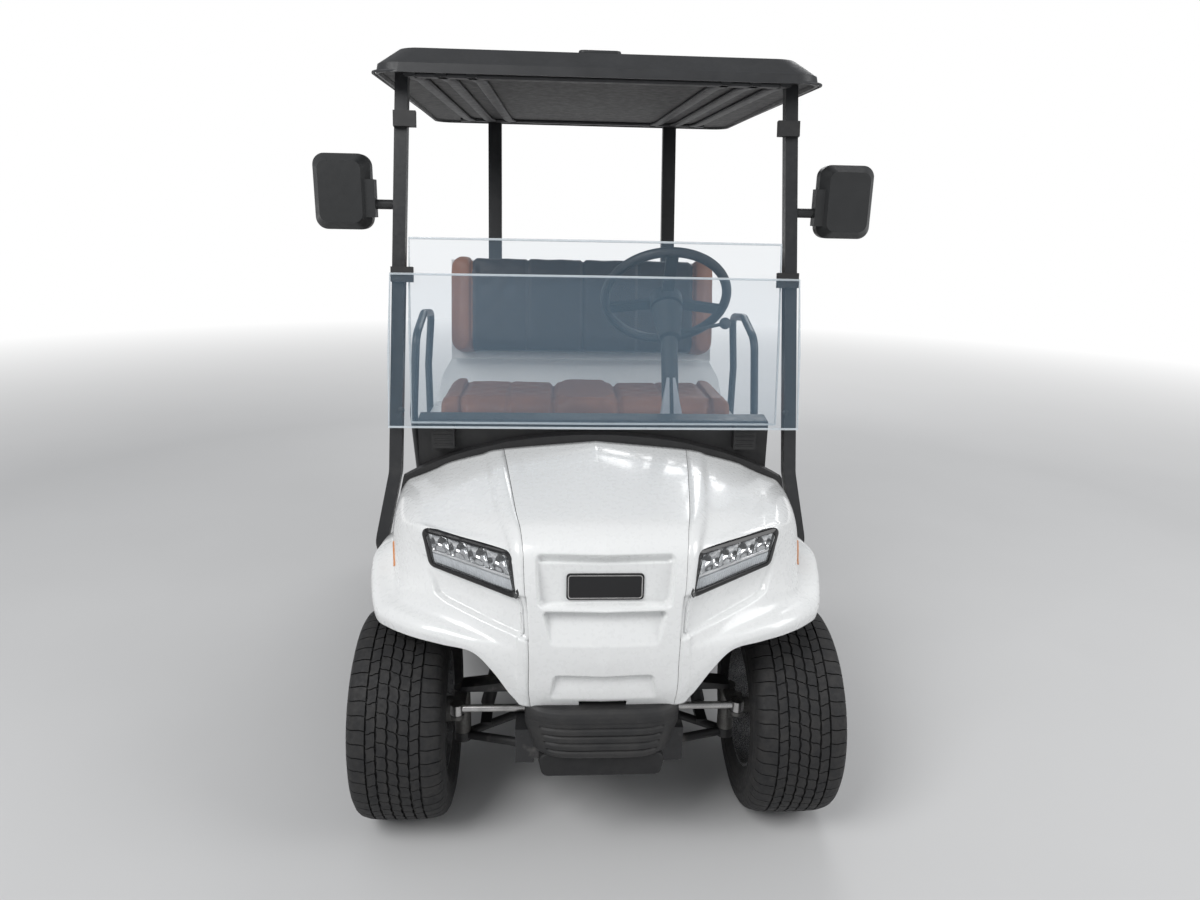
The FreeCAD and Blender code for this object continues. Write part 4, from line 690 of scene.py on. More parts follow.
def lay_mesh(name: str, points: Sequence[Vector], faces: Sequence[Sequence[int]]) -> Piece:
    """Make a smooth-shaded mesh object.

    Args:
        name: The piece's name.
        points: Its corners, in the cart's frame.
        faces: Corner numbers of each face.

    Returns:
        The new object, which rides on nothing yet.
    """
    mesh = bpy.data.meshes.new(name)
    mesh.from_pydata([tuple(point) for point in points], [], [tuple(face) for face in faces])
    mesh.update()
    mesh.polygons.foreach_set("use_smooth", [True] * len(mesh.polygons))
    piece = bpy.data.objects.new(name, mesh)
    bpy.context.scene.collection.objects.link(piece)
    return piece


def modify(piece: Piece, kind: str, **settings: object) -> Piece:
    """Apply a modifier to a piece's mesh.

    Args:
        piece: The piece.
        kind: The modifier's type.
        settings: Its properties.

    Returns:
        The same piece, with the modifier's result as its mesh.
    """
    modifier = piece.modifiers.new(kind.lower(), kind)
    for key, value in settings.items():
        setattr(modifier, key, value)
    graph = bpy.context.evaluated_depsgraph_get()
    made = bpy.data.meshes.new_from_object(piece.evaluated_get(graph))
    piece.modifiers.clear()
    old = piece.data
    piece.data = made
    bpy.data.meshes.remove(old)
    return piece


def grid_faces(rows: int, columns: int, around: bool = False) -> list[Face]:
    """Quads over a grid of points kept row by row.

    Args:
        rows: Number of rows.
        columns: Points in a row.
        around: True if each row closes on itself.

    Returns:
        The quads.
    """
    span = columns if around else columns - 1
    return [
        (row * columns + step, row * columns + (step + 1) % columns,
         (row + 1) * columns + (step + 1) % columns, (row + 1) * columns + step)
        for row in range(rows - 1)
        for step in range(span)
    ]


def through(keys: np.ndarray, steps: Sequence[int]) -> np.ndarray:
    """Smooth run through key points, with a set number of steps in each stretch.

    Args:
        keys: Key points along the first axis.
        steps: Steps in each stretch between two keys.

    Returns:
        The points of the run, along the first axis.
    """
    ends = np.concatenate([[2 * keys[0] - keys[1]], keys, [2 * keys[-1] - keys[-2]]])
    run = []
    for number, count in enumerate(steps):
        before, start, end, after = ends[number:number + 4]
        for step in range(count):
            t = step / count
            run.append(0.5 * (2 * start + (end - before) * t
                              + (2 * before - 5 * start + 4 * end - after) * t ** 2
                              + (3 * start - before - 3 * end + after) * t ** 3))
    run.append(keys[-1])
    return np.array(run)


def ease(value: np.ndarray) -> np.ndarray:
    """Smooth step from 0 to 1, held at its ends."""
    share = np.clip(value, 0.0, 1.0)
    return share * share * (3 - 2 * share)


def depth_inside(points: np.ndarray, corners: Sequence[Flat]) -> np.ndarray:
    """How far each point lies inside a closed outline, below zero outside.

    Args:
        points: Points of the plane, one a row.
        corners: The outline's corners in order.

    Returns:
        Distance to the nearest side of each point.
    """
    nearest = np.full(len(points), 1e9)
    inside = np.zeros(len(points), bool)
    ring = np.array(corners, float)
    for start, end in zip(ring, np.roll(ring, -1, axis=0)):
        side = end - start
        share = np.clip(((points - start) @ side) / (side @ side), 0, 1)
        gap = np.linalg.norm(points - start - share[:, None] * side, axis=1)
        nearest = np.minimum(nearest, gap)
        crosses = (start[1] > points[:, 1]) != (end[1] > points[:, 1])
        rise = np.where(abs(side[1]) > 1e-12, side[1], 1e-12)
        inside ^= crosses & (points[:, 0] < side[0] * (points[:, 1] - start[1]) / rise + start[0])
    return np.where(inside, nearest, -nearest)


def rounded(corners: Sequence[Flat], bend: float, steps: int = 6) -> list[Flat]:
    """Closed outline with its corners rounded.

    Args:
        corners: The outline's corners in order.
        bend: Radius of each corner.
        steps: Steps round a corner.

    Returns:
        The points of the rounded outline.
    """
    outline = []
    ring = [np.array(corner, float) for corner in corners]
    for number, corner in enumerate(ring):
        back = ring[number - 1] - corner
        ahead = ring[(number + 1) % len(ring)] - corner
        back, ahead = back / np.linalg.norm(back), ahead / np.linalg.norm(ahead)
        half = math.acos(float(np.clip(back @ ahead, -1, 1))) / 2
        reach = bend / math.tan(half)
        middle = corner + (back + ahead) / np.linalg.norm(back + ahead) * bend / math.sin(half)
        start = corner + back * reach - middle
        end = corner + ahead * reach - middle
        sweep = math.atan2(start[0] * end[1] - start[1] * end[0], float(start @ end))
        for step in range(steps + 1):
            turn = sweep * step / steps
            spot = (start[0] * math.cos(turn) - start[1] * math.sin(turn),
                    start[0] * math.sin(turn) + start[1] * math.cos(turn))
            outline.append((middle[0] + spot[0], middle[1] + spot[1]))
    return outline


def ring_section(radius: float, sides: int = 14) -> list[Flat]:
    """Round section of a tube."""
    return [(radius * math.cos(math.tau * step / sides), radius * math.sin(math.tau * step / sides))
            for step in range(sides)]


def oblong(low: Flat, high: Flat, bend: float, steps: int = 6) -> list[Flat]:
    """Oblong between two opposite corners, with its corners rounded."""
    return rounded([low, (high[0], low[1]), high, (low[0], high[1])], bend, steps)


def flat_section(wide: float, deep: float, bend: float) -> list[Flat]:
    """Flat section with rounded corners."""
    return oblong((-wide / 2, -deep / 2), (wide / 2, deep / 2), bend, 3)


def sweep(name: str, path: Sequence[Vector], section: Sequence[Flat], closed: bool = False,
          up: Optional[Vector] = None) -> Piece:
    """Sweep a section along a path.

    Args:
        name: The piece's name.
        path: Points of the path.
        section: The section's outline, across the path and along its upper side.
        closed: True if the path closes on itself.
        up: Direction that the section's second axis keeps to.

    Returns:
        The piece.
    """
    rise = up or Vector((0.0, 0.0, 1.0))
    points, count, sides = [], len(path), len(section)
    for number, spot in enumerate(path):
        before = path[number - 1] if closed or number else path[0]
        after = path[(number + 1) % count] if closed or number < count - 1 else path[-1]
        ahead = (after - before).normalized()
        across = ahead.cross(rise).normalized()
        over = across.cross(ahead)
        points += [spot + across * a + over * b for a, b in section]
    faces = grid_faces(count, sides, True)
    if closed:
        last = (count - 1) * sides
        faces += [(last + step, last + (step + 1) % sides, (step + 1) % sides, step) for step in range(sides)]
    else:
        faces += [tuple(reversed(range(sides))), tuple(range((count - 1) * sides, count * sides))]
    return tidy(lay_mesh(name, points, faces))


def turned(name: str, profile: Sequence[Flat], centre: Vector, axis: Point = (1.0, 0.0, 0.0),
           steps: int = 48, closed: bool = False) -> Piece:
    """Turn a profile round an axis.

    Args:
        name: The piece's name.
        profile: Distances along the axis and from it.
        centre: Point where the distance along the axis is zero.
        axis: The axis's direction.
        steps: Steps round the axis.
        closed: True if the profile closes on itself.

    Returns:
        The piece.
    """
    ahead = Vector(axis).normalized()
    first = ahead.orthogonal().normalized()
    second = ahead.cross(first)
    points = []
    for step in range(steps):
        turn = math.tau * step / steps
        out = first * math.cos(turn) + second * math.sin(turn)
        points += [centre + ahead * along + out * radius for along, radius in profile]
    count = len(profile)
    span = count if closed else count - 1
    faces = [(step * count + item, step * count + (item + 1) % count,
              (step + 1) % steps * count + (item + 1) % count, (step + 1) % steps * count + item)
             for step in range(steps) for item in range(span)]
    return tidy(lay_mesh(name, points, faces))


def prism(name: str, outline: Sequence[Flat], start: float, end: float, axis: Axis = Axis.Y,
          bevel: float = 0.0) -> Piece:
    """Solid between two levels of an outline.

    Args:
        name: The piece's name.
        outline: Corners in the plane across the axis.
        start: First level along the axis, from the front axle for the long axis.
        end: Last level.
        axis: Axis that it runs along.
        bevel: Width of the rounded edges.

    Returns:
        The piece.
    """
    first, second = [number for number in range(3) if number != axis.value]
    points = []
    for level in (start, end):
        for pair in outline:
            spot = [0.0, 0.0, 0.0]
            spot[axis.value], spot[first], spot[second] = level, *pair
            points.append(at(*spot))
    count = len(outline)
    faces = [tuple(range(count)), tuple(range(count, 2 * count))]
    faces += [(step, (step + 1) % count, (step + 1) % count + count, step + count) for step in range(count)]
    piece = tidy(lay_mesh(name, points, faces))
    if bevel:
        modify(piece, "BEVEL", width=bevel, segments=3, limit_method="ANGLE")
    return soften(piece)


def tidy(piece: Piece, angle: float = 38.0) -> Piece:
    """Merge doubled points, turn the faces outwards and keep the sharp edges.

    Args:
        piece: The piece.
        angle: Least angle of an edge that stays sharp, in degrees.

    Returns:
        The same piece.
    """
    with reshaping(piece.data) as shape:
        bmesh.ops.remove_doubles(shape, verts=shape.verts, dist=1e-6)
        bmesh.ops.recalc_face_normals(shape, faces=shape.faces)
    return soften(piece, angle)


def soften(piece: Piece, angle: float = 38.0) -> Piece:
    """Shade a piece smoothly, with its sharp edges kept.

    Args:
        piece: The piece.
        angle: Least angle of an edge that stays sharp, in degrees.

    Returns:
        The same piece.
    """
    piece.data.polygons.foreach_set("use_smooth", [True] * len(piece.data.polygons))
    piece.data.set_sharp_from_angle(angle=math.radians(angle))
    return piece


def merged(name: str, pieces: Sequence[Piece]) -> Piece:
    """Join several pieces of one material to one mesh object.

    Args:
        name: Name of the joined piece.
        pieces: The pieces, which are used up.

    Returns:
        The joined piece.
    """
    mesh = bpy.data.meshes.new(name)
    with reshaping(mesh) as shape:
        for piece in pieces:
            shape.from_mesh(piece.data)
    for piece in pieces:
        bpy.data.meshes.remove(piece.data)
    whole = bpy.data.objects.new(name, mesh)
    bpy.context.scene.collection.objects.link(whole)
    return soften(whole)


def mirrored_pair(name: str, build: Callable[[int], Piece]) -> Piece:
    """Build a piece for each side of the cart, and join the two."""
    return merged(name, [build(1), build(-1)])


class Surface:
    """A surface that rays from the front can be cast at."""

    def __init__(self, points: Sequence[Vector], faces: Sequence[Sequence[int]]) -> None:
        """Keep the surface in a search tree."""
        self.tree = BVHTree.FromPolygons([tuple(point) for point in points], [tuple(face) for face in faces])

    def station(self, x: float, z: float) -> float:
        """Place along the cart, from the front axle, where the surface is first met at x and z."""
        hit = self.tree.ray_cast(Vector((x, AXLE_Y - 2.0, z)), Vector((0.0, 1.0, 0.0)))[0]
        return hit.y - AXLE_Y if hit else 0.0

    def spot(self, x: float, z: float, behind: float = 0.0) -> Vector:
        """Point on the surface at x and z, or some way behind it."""
        return at(x, self.station(x, z) + behind, z)


def surface_of(name: str) -> Surface:
    """Make a surface of a CAD node.

    Args:
        name: The node's name.

    Returns:
        Its surface.
    """
    node = frame["nodes"][name]
    corners = [node.matrix_world @ vertex.co for vertex in node.data.vertices]
    return Surface(corners, [tuple(polygon.vertices) for polygon in node.data.polygons])


@dataclass
class Assembly:
    """A sub-assembly, which dresses a part of the cart in the cart's finishes."""

    finishes: Finishes

    def add(self, piece: Piece, finish: str, body: str = "chassis", slot: Optional[str] = None,
            replaces: Sequence[str] = ()) -> Piece:
        """Finish a piece: its material, the body that carries it and what it stands for.

        Args:
            piece: The piece.
            finish: Name of its finish.
            body: The CAD body it rides on.
            slot: The record's material slot, if it has one; not used.
            replaces: CAD nodes that it stands for.

        Returns:
            The same piece.
        """
        piece.data.materials.clear()
        piece.data.materials.append(self.finishes[finish])
        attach(piece, body)
        if replaces:
            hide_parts(*replaces)
        return piece


@dataclass
class Tyres(Assembly):
    """Road tyres: a carcass with its sidewalls, and blocks of tread in five ribs and two shoulders."""

    pitches: int = 50
    groove: float = 0.007
    sipe: float = 0.0028
    wave: float = 0.0012
    root: float = 0.001

    # Ribs: inner and outer edge from the middle, steps across, share of a pitch ahead, slant, zigzag
    RIBS = (
        (-0.0095, 0.0095, 3, 0.0, 0.010, 0.0030),
        (0.0145, 0.0350, 3, 0.25, 0.006, 0.0022),
        (-0.0350, -0.0145, 3, 0.75, 0.006, 0.0022),
        (0.0395, 0.0585, 3, 0.6, -0.005, 0.0015),
        (-0.0585, -0.0395, 3, 0.1, -0.005, 0.0015),
        (0.0630, 0.1075, 7, 0.4, 0.004, 0.0),
        (-0.1075, -0.0630, 7, 0.9, 0.004, 0.0),
    )
    # Crown: distance from the middle and radius
    CROWN = ((0.0, 0.2600), (0.030, 0.2598), (0.0565, 0.2590), (0.075, 0.2570), (0.093, 0.2520),
             (0.101, 0.2460), (0.108, 0.2345))
    # Carcass below the tread: distance from the middle and radius, from the shoulder to the bead
    SIDE = ((0.104, 0.2370), (0.1085, 0.2300), (0.1105, 0.2240), (0.1118, 0.2180), (0.1125, 0.2170),
            (0.1128, 0.2120), (0.1122, 0.2110), (0.1128, 0.2020), (0.1130, 0.1990), (0.1126, 0.1930),
            (0.1112, 0.1880), (0.1118, 0.1860), (0.1116, 0.1820), (0.1096, 0.1800), (0.1060, 0.1720),
            (0.1010, 0.1650), (0.0965, 0.1600), (0.0940, 0.1530))

    def radius(self, across: np.ndarray) -> np.ndarray:
        """Radius of the tread's crown at a distance from the middle."""
        ways, radii = zip(*self.CROWN)
        return np.interp(np.abs(across), ways, radii)

    def carcass(self, name: str, centre: Vector) -> Piece:
        """Make the body of a tyre, with the floor of its grooves.

        Args:
            name: The piece's name.
            centre: The wheel's centre.

        Returns:
            The carcass.
        """
        floor = [(across, float(self.radius(np.array(across))) - self.groove)
                 for across in np.linspace(-0.101, 0.101, 15)]
        side = list(self.SIDE)
        inside = [(0.080, 0.1525), (-0.080, 0.1525)]
        profile = floor + side + inside + [(-across, radius) for across, radius in reversed(side)]
        return turned(name, profile, centre, steps=144, closed=True)

    def tread(self, name: str, centre: Vector) -> Piece:
        """Make all blocks of tread of a tyre as one mesh.

        Args:
            name: The piece's name.
            centre: The wheel's centre.

        Returns:
            The blocks.
        """
        points: list[Vector] = []
        faces: list[Face] = []
        pitch = math.tau * TYRE_RADIUS / self.pitches
        for low, high, steps, ahead, slant, zigzag in self.RIBS:
            along, over = np.meshgrid(np.linspace(0, 1, 5), np.linspace(0, 1, steps + 1), indexing="ij")
            arc = along * (pitch - self.sipe) + slant * (over - 0.5) + self.wave * np.sin(math.tau * over)
            across = low + over * (high - low) + zigzag * (1 - np.abs(2 * along - 1)) - zigzag / 2
            rows, columns = along.shape
            top = grid_faces(rows, columns)
            rim = list(range(columns))
            rim += [row * columns + columns - 1 for row in range(1, rows)]
            rim += [(rows - 1) * columns + step for step in range(columns - 2, -1, -1)]
            rim += [row * columns for row in range(rows - 2, 0, -1)]
            for block in range(self.pitches):
                turn = (arc + pitch * (block + ahead)) / TYRE_RADIUS
                base = len(points)
                for drop in (0.0, self.groove + self.root):
                    reach = self.radius(across) - drop
                    ring = np.stack([across, reach * np.cos(turn), reach * np.sin(turn)], axis=-1)
                    points += [centre + Vector(spot) for spot in ring.reshape(-1, 3)]
                faces += [tuple(base + corner for corner in face) for face in top]
                under = base + rows * columns
                faces += [(base + first, base + second, under + second, under + first)
                          for first, second in zip(rim, rim[1:] + rim[:1])]
        return lay_mesh(name, points, faces)

    def build(self) -> None:
        """Make the four tyres."""
        for wheel in WHEELS:
            low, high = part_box(f"tyre_{wheel}")
            centre = (low + high) / 2
            pieces = [self.carcass("carcass", centre), tidy(self.tread("tread", centre), 30)]
            tyre = merged(f"tyre_dressed_{wheel}", pieces)
            self.add(tyre, "tyre_black", f"wheel_{wheel}", "tyre_black", [f"tyre_{wheel}"])


@dataclass
class Rims(Assembly):
    """What dresses the alloy rims: nuts, centre caps, valves and rolled edges."""

    spokes: int = 5
    nut_circle: float = 0.0545
    nut_place: float = 0.047
    cap_place: float = 0.0755
    edge_round: float = 0.0015
    stem: float = 0.0042

    # Profiles: distance along the axle and from it
    NUT = ((0.0, 0.0), (0.0, 0.0105), (0.011, 0.0105), (0.0135, 0.0085), (0.014, 0.0))
    CAP = ((0.0, 0.0), (0.0, 0.031), (0.006, 0.031), (0.010, 0.027), (0.0125, 0.018), (0.0135, 0.0))
    EDGE = ((0.0905, 0.1440), (0.0915, 0.1505), (0.0940, 0.1515), (0.0950, 0.1490), (0.0945, 0.1450),
            (0.0925, 0.1425))
    # Valve: distance along the axle and height below it, at both ends
    VALVE = ((0.050, -0.134), (0.078, -0.127))

    def build(self) -> None:
        """Dress the four rims."""
        for wheel in WHEELS:
            low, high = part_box(f"rim_{wheel}")
            centre = (low + high) / 2
            out = 1 if centre.x > 0 else -1
            round_edges(f"rim_{wheel}", self.edge_round)
            pieces = []
            for spoke in range(self.spokes):
                turn = math.tau * (spoke + 0.5) / self.spokes
                middle = centre + Vector((out * self.nut_place, -self.nut_circle * math.sin(turn),
                                          self.nut_circle * math.cos(turn)))
                pieces.append(turned("nut", self.NUT, middle, (out, 0, 0), 6))
            cap_place = centre + Vector((out * self.cap_place, 0, 0))
            stem = [centre + Vector((out * along, 0.0, up)) for along, up in self.VALVE]
            dressing = (
                (merged(f"wheel_nuts_{wheel}", pieces), "bright_steel"),
                (turned(f"hub_cap_{wheel}", self.CAP, cap_place, (out, 0, 0)), "black_trim"),
                (turned(f"rim_edge_{wheel}", self.EDGE, centre, (out, 0, 0), 96, True), "alloy"),
                (sweep(f"valve_{wheel}", stem, ring_section(self.stem, 10)), "tyre_black"),
            )
            for piece, finish in dressing:
                self.add(piece, finish, f"wheel_{wheel}")


class FrontBody(Assembly):
    """Hood and fenders: one smooth skin through key profiles, with its recesses and flares."""

    # Profiles from the centre line round to the side, in millimetres from the front axle:
    # hood's rear edge, hood, hood front, fold start, fold end, lamp foot, crease, flare root,
    # flare shoulder, flare face, lip. A side profile leaves out its straight upper points.
    PROFILES = (((0, 232, 910), (0, 50, 886), (0, -130, 857), (0, -212, 836), (0, -262, 800), (0, -281, 730),
                 (0, -286, 640), (0, -286, 590), (0, -284, 540), (0, -272, 470), (0, -252, 420)),
                ((242, 232, 888), (220, 50, 875), (197, -130, 850), (184, -205, 832), (177, -250, 796),
                 (174, -268, 725), (168, -274, 640), (166, -275, 589), (165, -274, 545), (166, -266, 475),
                 (162, -250, 422)), ((300, 232, 873), (276, 60, 860), (250, -105, 836), (228, -185, 812),
                                     (212, -228, 785), (200, -247, 715), (197, -255, 640), (196, -262, 592),
                                     (198, -266, 560), (200, -263, 500), (200, -250, 446)),
                ((340, 232, 863), (322, 65, 850), (300, -80, 828), (276, -158, 808), (262, -200, 787),
                 (248, -220, 712), (240, -236, 645), (237, -247, 597), (240, -256, 577), (243, -258, 545),
                 (245, -254, 515)), ((385, 232, 850), (370, 75, 838), (350, -50, 822), (328, -135, 806),
                                     (310, -178, 789), (292, -192, 705), (284, -206, 650), (280, -228, 603),
                                     (284, -245, 590), (288, -250, 575), (290, -248, 560)),
                ((418, 232, 834), (408, 85, 828), (394, -30, 818), (375, -112, 806), (360, -150, 793),
                 (345, -160, 705), (340, -176, 655), (338, -200, 611), (346, -222, 600), (354, -228, 585),
                 (358, -224, 566)), ((445, 232, 822), (444, 100, 820), (438, 0, 816), (424, -85, 808),
                                     (410, -122, 796), (395, -130, 717), (388, -148, 662), (395, -165, 618),
                                     (408, -192, 608), (418, -202, 592), (422, -198, 570)),
                ((470, 232, 812), (474, 125, 808), (474, 45, 800), (468, -20, 787), (461, -52, 765),
                 (452, -75, 712), (450, -90, 665), (458, -108, 622), (478, -138, 610), (487, -148, 592),
                 (488, -142, 565)), ((492, 232, 802), (498, 160, 792), (500, 95, 774), (498, 45, 752),
                                     (495, 15, 728), (491, -10, 695), (489, -28, 662), (491, -48, 630),
                                     (522, -82, 612), (531, -90, 594), (530, -84, 565)),
                ((508, 232, 782), (513, 185, 766), (515, 145, 748), (514, 108, 728), (511, 78, 712),
                 (508, 60, 705), (507, 50, 690), (509, 42, 678), (548, 35, 664), (557, 25, 640),
                 (557, 10, 611)), ((520, 238, 755), (524, 130, 682), (550, 122, 664), (560, 115, 640),
                                   (560, 105, 604)), ((532, 240, 710), (541, 230, 655), (556, 222, 640),
                                                      (563, 215, 618), (563, 200, 567)),
                ((546, 262, 650), (550, 268, 612), (560, 266, 598), (565, 262, 570), (565, 252, 531)),
                ((552, 335, 622), (556, 338, 560), (562, 338, 540), (565, 336, 500), (565, 330, 441)),
                ((556, 420, 622), (558, 420, 540), (561, 420, 520), (563, 420, 470), (563, 420, 402)),)
    ROW_STEPS = (12, 14, 10, 14, 24, 30, 18, 12, 20, 14)
    COLUMN_STEPS = (56, 8, 10, 12, 12, 12, 10, 10, 10, 12, 10, 8, 10, 10)
    SEAM = 1
    SEAM_HALF = 0.0006
    LAMP = ((205, 789), (410, 806), (392, 717), (182, 690))
    LAMP_LAP = 5
    FACET = ((405, 735), (389, 691), (376, 660), (353, 649), (284, 631), (228, 618), (168, 600), (171, 700))
    BADGE_RECESS = ((-150, 793), (150, 793), (143, 679), (-143, 679))
    BADGE_GROOVE = ((-145, 792), (145, 792), (144, 778), (-144, 778))
    BADGE_FLOOR = -250.5
    SILL_RECESS = ((-133, 668), (133, 668), (117, 592), (-117, 592))
    CHIN_RECESS = ((-108, 511), (108, 511), (118, 451), (-118, 451))
    NOTCH = (56, 441)
    # In metres: rear end of the lamp's opening, foremost place of the skin, thickness of its wall
    LAMP_BACK = 0.02
    NOSE = -0.2848
    WALL = 0.0035

    def __init__(self, finishes: Finishes) -> None:
        """Work out the left half's skin.

        Args:
            finishes: The cart's finishes.
        """
        super().__init__(finishes)
        keys = np.array([self.filled(profile) for profile in self.PROFILES], float) / 1000
        columns = through(keys, self.COLUMN_STEPS)
        self.skin = np.array([through(column, self.ROW_STEPS) for column in columns])
        plain = self.skin + (0, AXLE_Y, 0)
        self.plain = Surface(plain.reshape(-1, 3), grid_faces(*plain.shape[:2]))
        normal = self.outward()
        normal[0, :, 0] = 0
        self.skin = self.skin + normal * self.relief()[..., None]
        self.skin[..., 1] = np.maximum(self.skin[..., 1], self.NOSE)
        self.skin[0, :, 0] = 0
        self.skin[..., 1] += AXLE_Y
        self.surface = Surface(self.skin.reshape(-1, 3), grid_faces(*self.skin.shape[:2]))

    def filled(self, profile: Sequence[Point]) -> list[Point]:
        """Put a profile's left-out upper points back, on a straight line.

        Args:
            profile: Points from the rear edge of the hood to the lip.

        Returns:
            The whole profile.
        """
        gaps = len(self.ROW_STEPS) + 2 - len(profile)
        top, root = np.array(profile[0], float), np.array(profile[1], float)
        return [tuple(top + (root - top) * step / gaps) for step in range(gaps)] + list(profile[1:])

    def outward(self) -> np.ndarray:
        """Work out which way the skin faces.

        Returns:
            Its unit normals, pointing out of the body.
        """
        along = np.gradient(self.skin, axis=0)
        down = np.gradient(self.skin, axis=1)
        normal = np.cross(down, along)
        return normal / np.linalg.norm(normal, axis=2, keepdims=True)

    def relief(self) -> np.ndarray:
        """Work out the recesses seen from the front, in millimetres until the last line.

        Returns:
            How far each point of the skin stands out.
        """
        flat = self.skin[..., [0, 2]].reshape(-1, 2) * 1000
        height = flat[:, 1]
        station = self.skin[..., 1].reshape(-1) * 1000
        raised = np.zeros(len(flat))
        recesses = (
            (rounded(self.BADGE_RECESS, 13), np.maximum(0, self.BADGE_FLOOR - station), 5),
            (rounded(self.BADGE_GROOVE, 6), 9, 5),
            (rounded(self.SILL_RECESS, 8), 2 + 24 * np.clip((height - 594) / 74, 0, 1), 4),
            (rounded(self.CHIN_RECESS, 8), 1 + 15 * np.clip((height - 452) / 61, 0, 1), 4),
            (self.FACET, 5 + 9 * ease((720 - height) / 60), 9),
        )
        for outline, depth, wall in recesses:
            raised -= depth * ease(depth_inside(flat, outline) / wall + 0.5)
        return (raised * ease((60 - station) / 30) / 1000).reshape(self.skin.shape[:2])

    def panel(self, name: str, first: int, last: int, sides: Sequence[int], node: str) -> Piece:
        """Make one panel from a range of the skin's columns.

        Args:
            name: The piece's name.
            first: First column.
            last: Last column.
            sides: 1 for the driver's side, -1 for the other.
            node: The CAD node that it stands for.

        Returns:
            The panel.
        """
        points: list[np.ndarray] = []
        faces: list[Face] = []
        part = self.skin[first:last + 1].copy()
        for column, way in ((0, 1), (-1, -1)):
            if 0 < (first if column == 0 else last) < len(self.skin) - 1:
                part[column, :, 0] += way * self.SEAM_HALF
        columns, rows = part.shape[:2]
        spots = part.reshape(-1, 3)
        flat = spots[:, [0, 2]] * 1000
        cut = (depth_inside(flat, self.LAMP) > self.LAMP_LAP) & (spots[:, 1] < AXLE_Y + self.LAMP_BACK)
        cut |= (np.abs(flat[:, 0]) < self.NOTCH[0]) & (flat[:, 1] < self.NOTCH[1])
        for side in sides:
            base = len(points)
            points += [spot * (side, 1, 1) for spot in spots]
            for face in grid_faces(columns, rows):
                if all(cut[corner] for corner in face):
                    continue
                turned = face if side > 0 else tuple(reversed(face))
                faces.append(tuple(base + corner for corner in turned))
        piece = lay_mesh(name, [Vector(point) for point in points], faces)
        with reshaping(piece.data) as shape:
            bmesh.ops.remove_doubles(shape, verts=shape.verts, dist=1e-5)
            loose = [vert for vert in shape.verts if not vert.link_faces]
            bmesh.ops.delete(shape, geom=loose, context="VERTS")
        modify(piece, "SOLIDIFY", thickness=self.WALL, offset=-1.0)
        return self.add(piece, "pearl_white", "chassis", "pearl_white", [node])

    def build(self) -> None:
        """Make the hood and both fenders."""
        seam = sum(self.COLUMN_STEPS[:self.SEAM])
        last = len(self.skin) - 1
        self.panel("hood_skin", 0, seam, (1, -1), "hood_panel")
        self.panel("fender_skin_left", seam, last, (1,), "fender_left")
        self.panel("fender_skin_right", seam, last, (-1,), "fender_right")


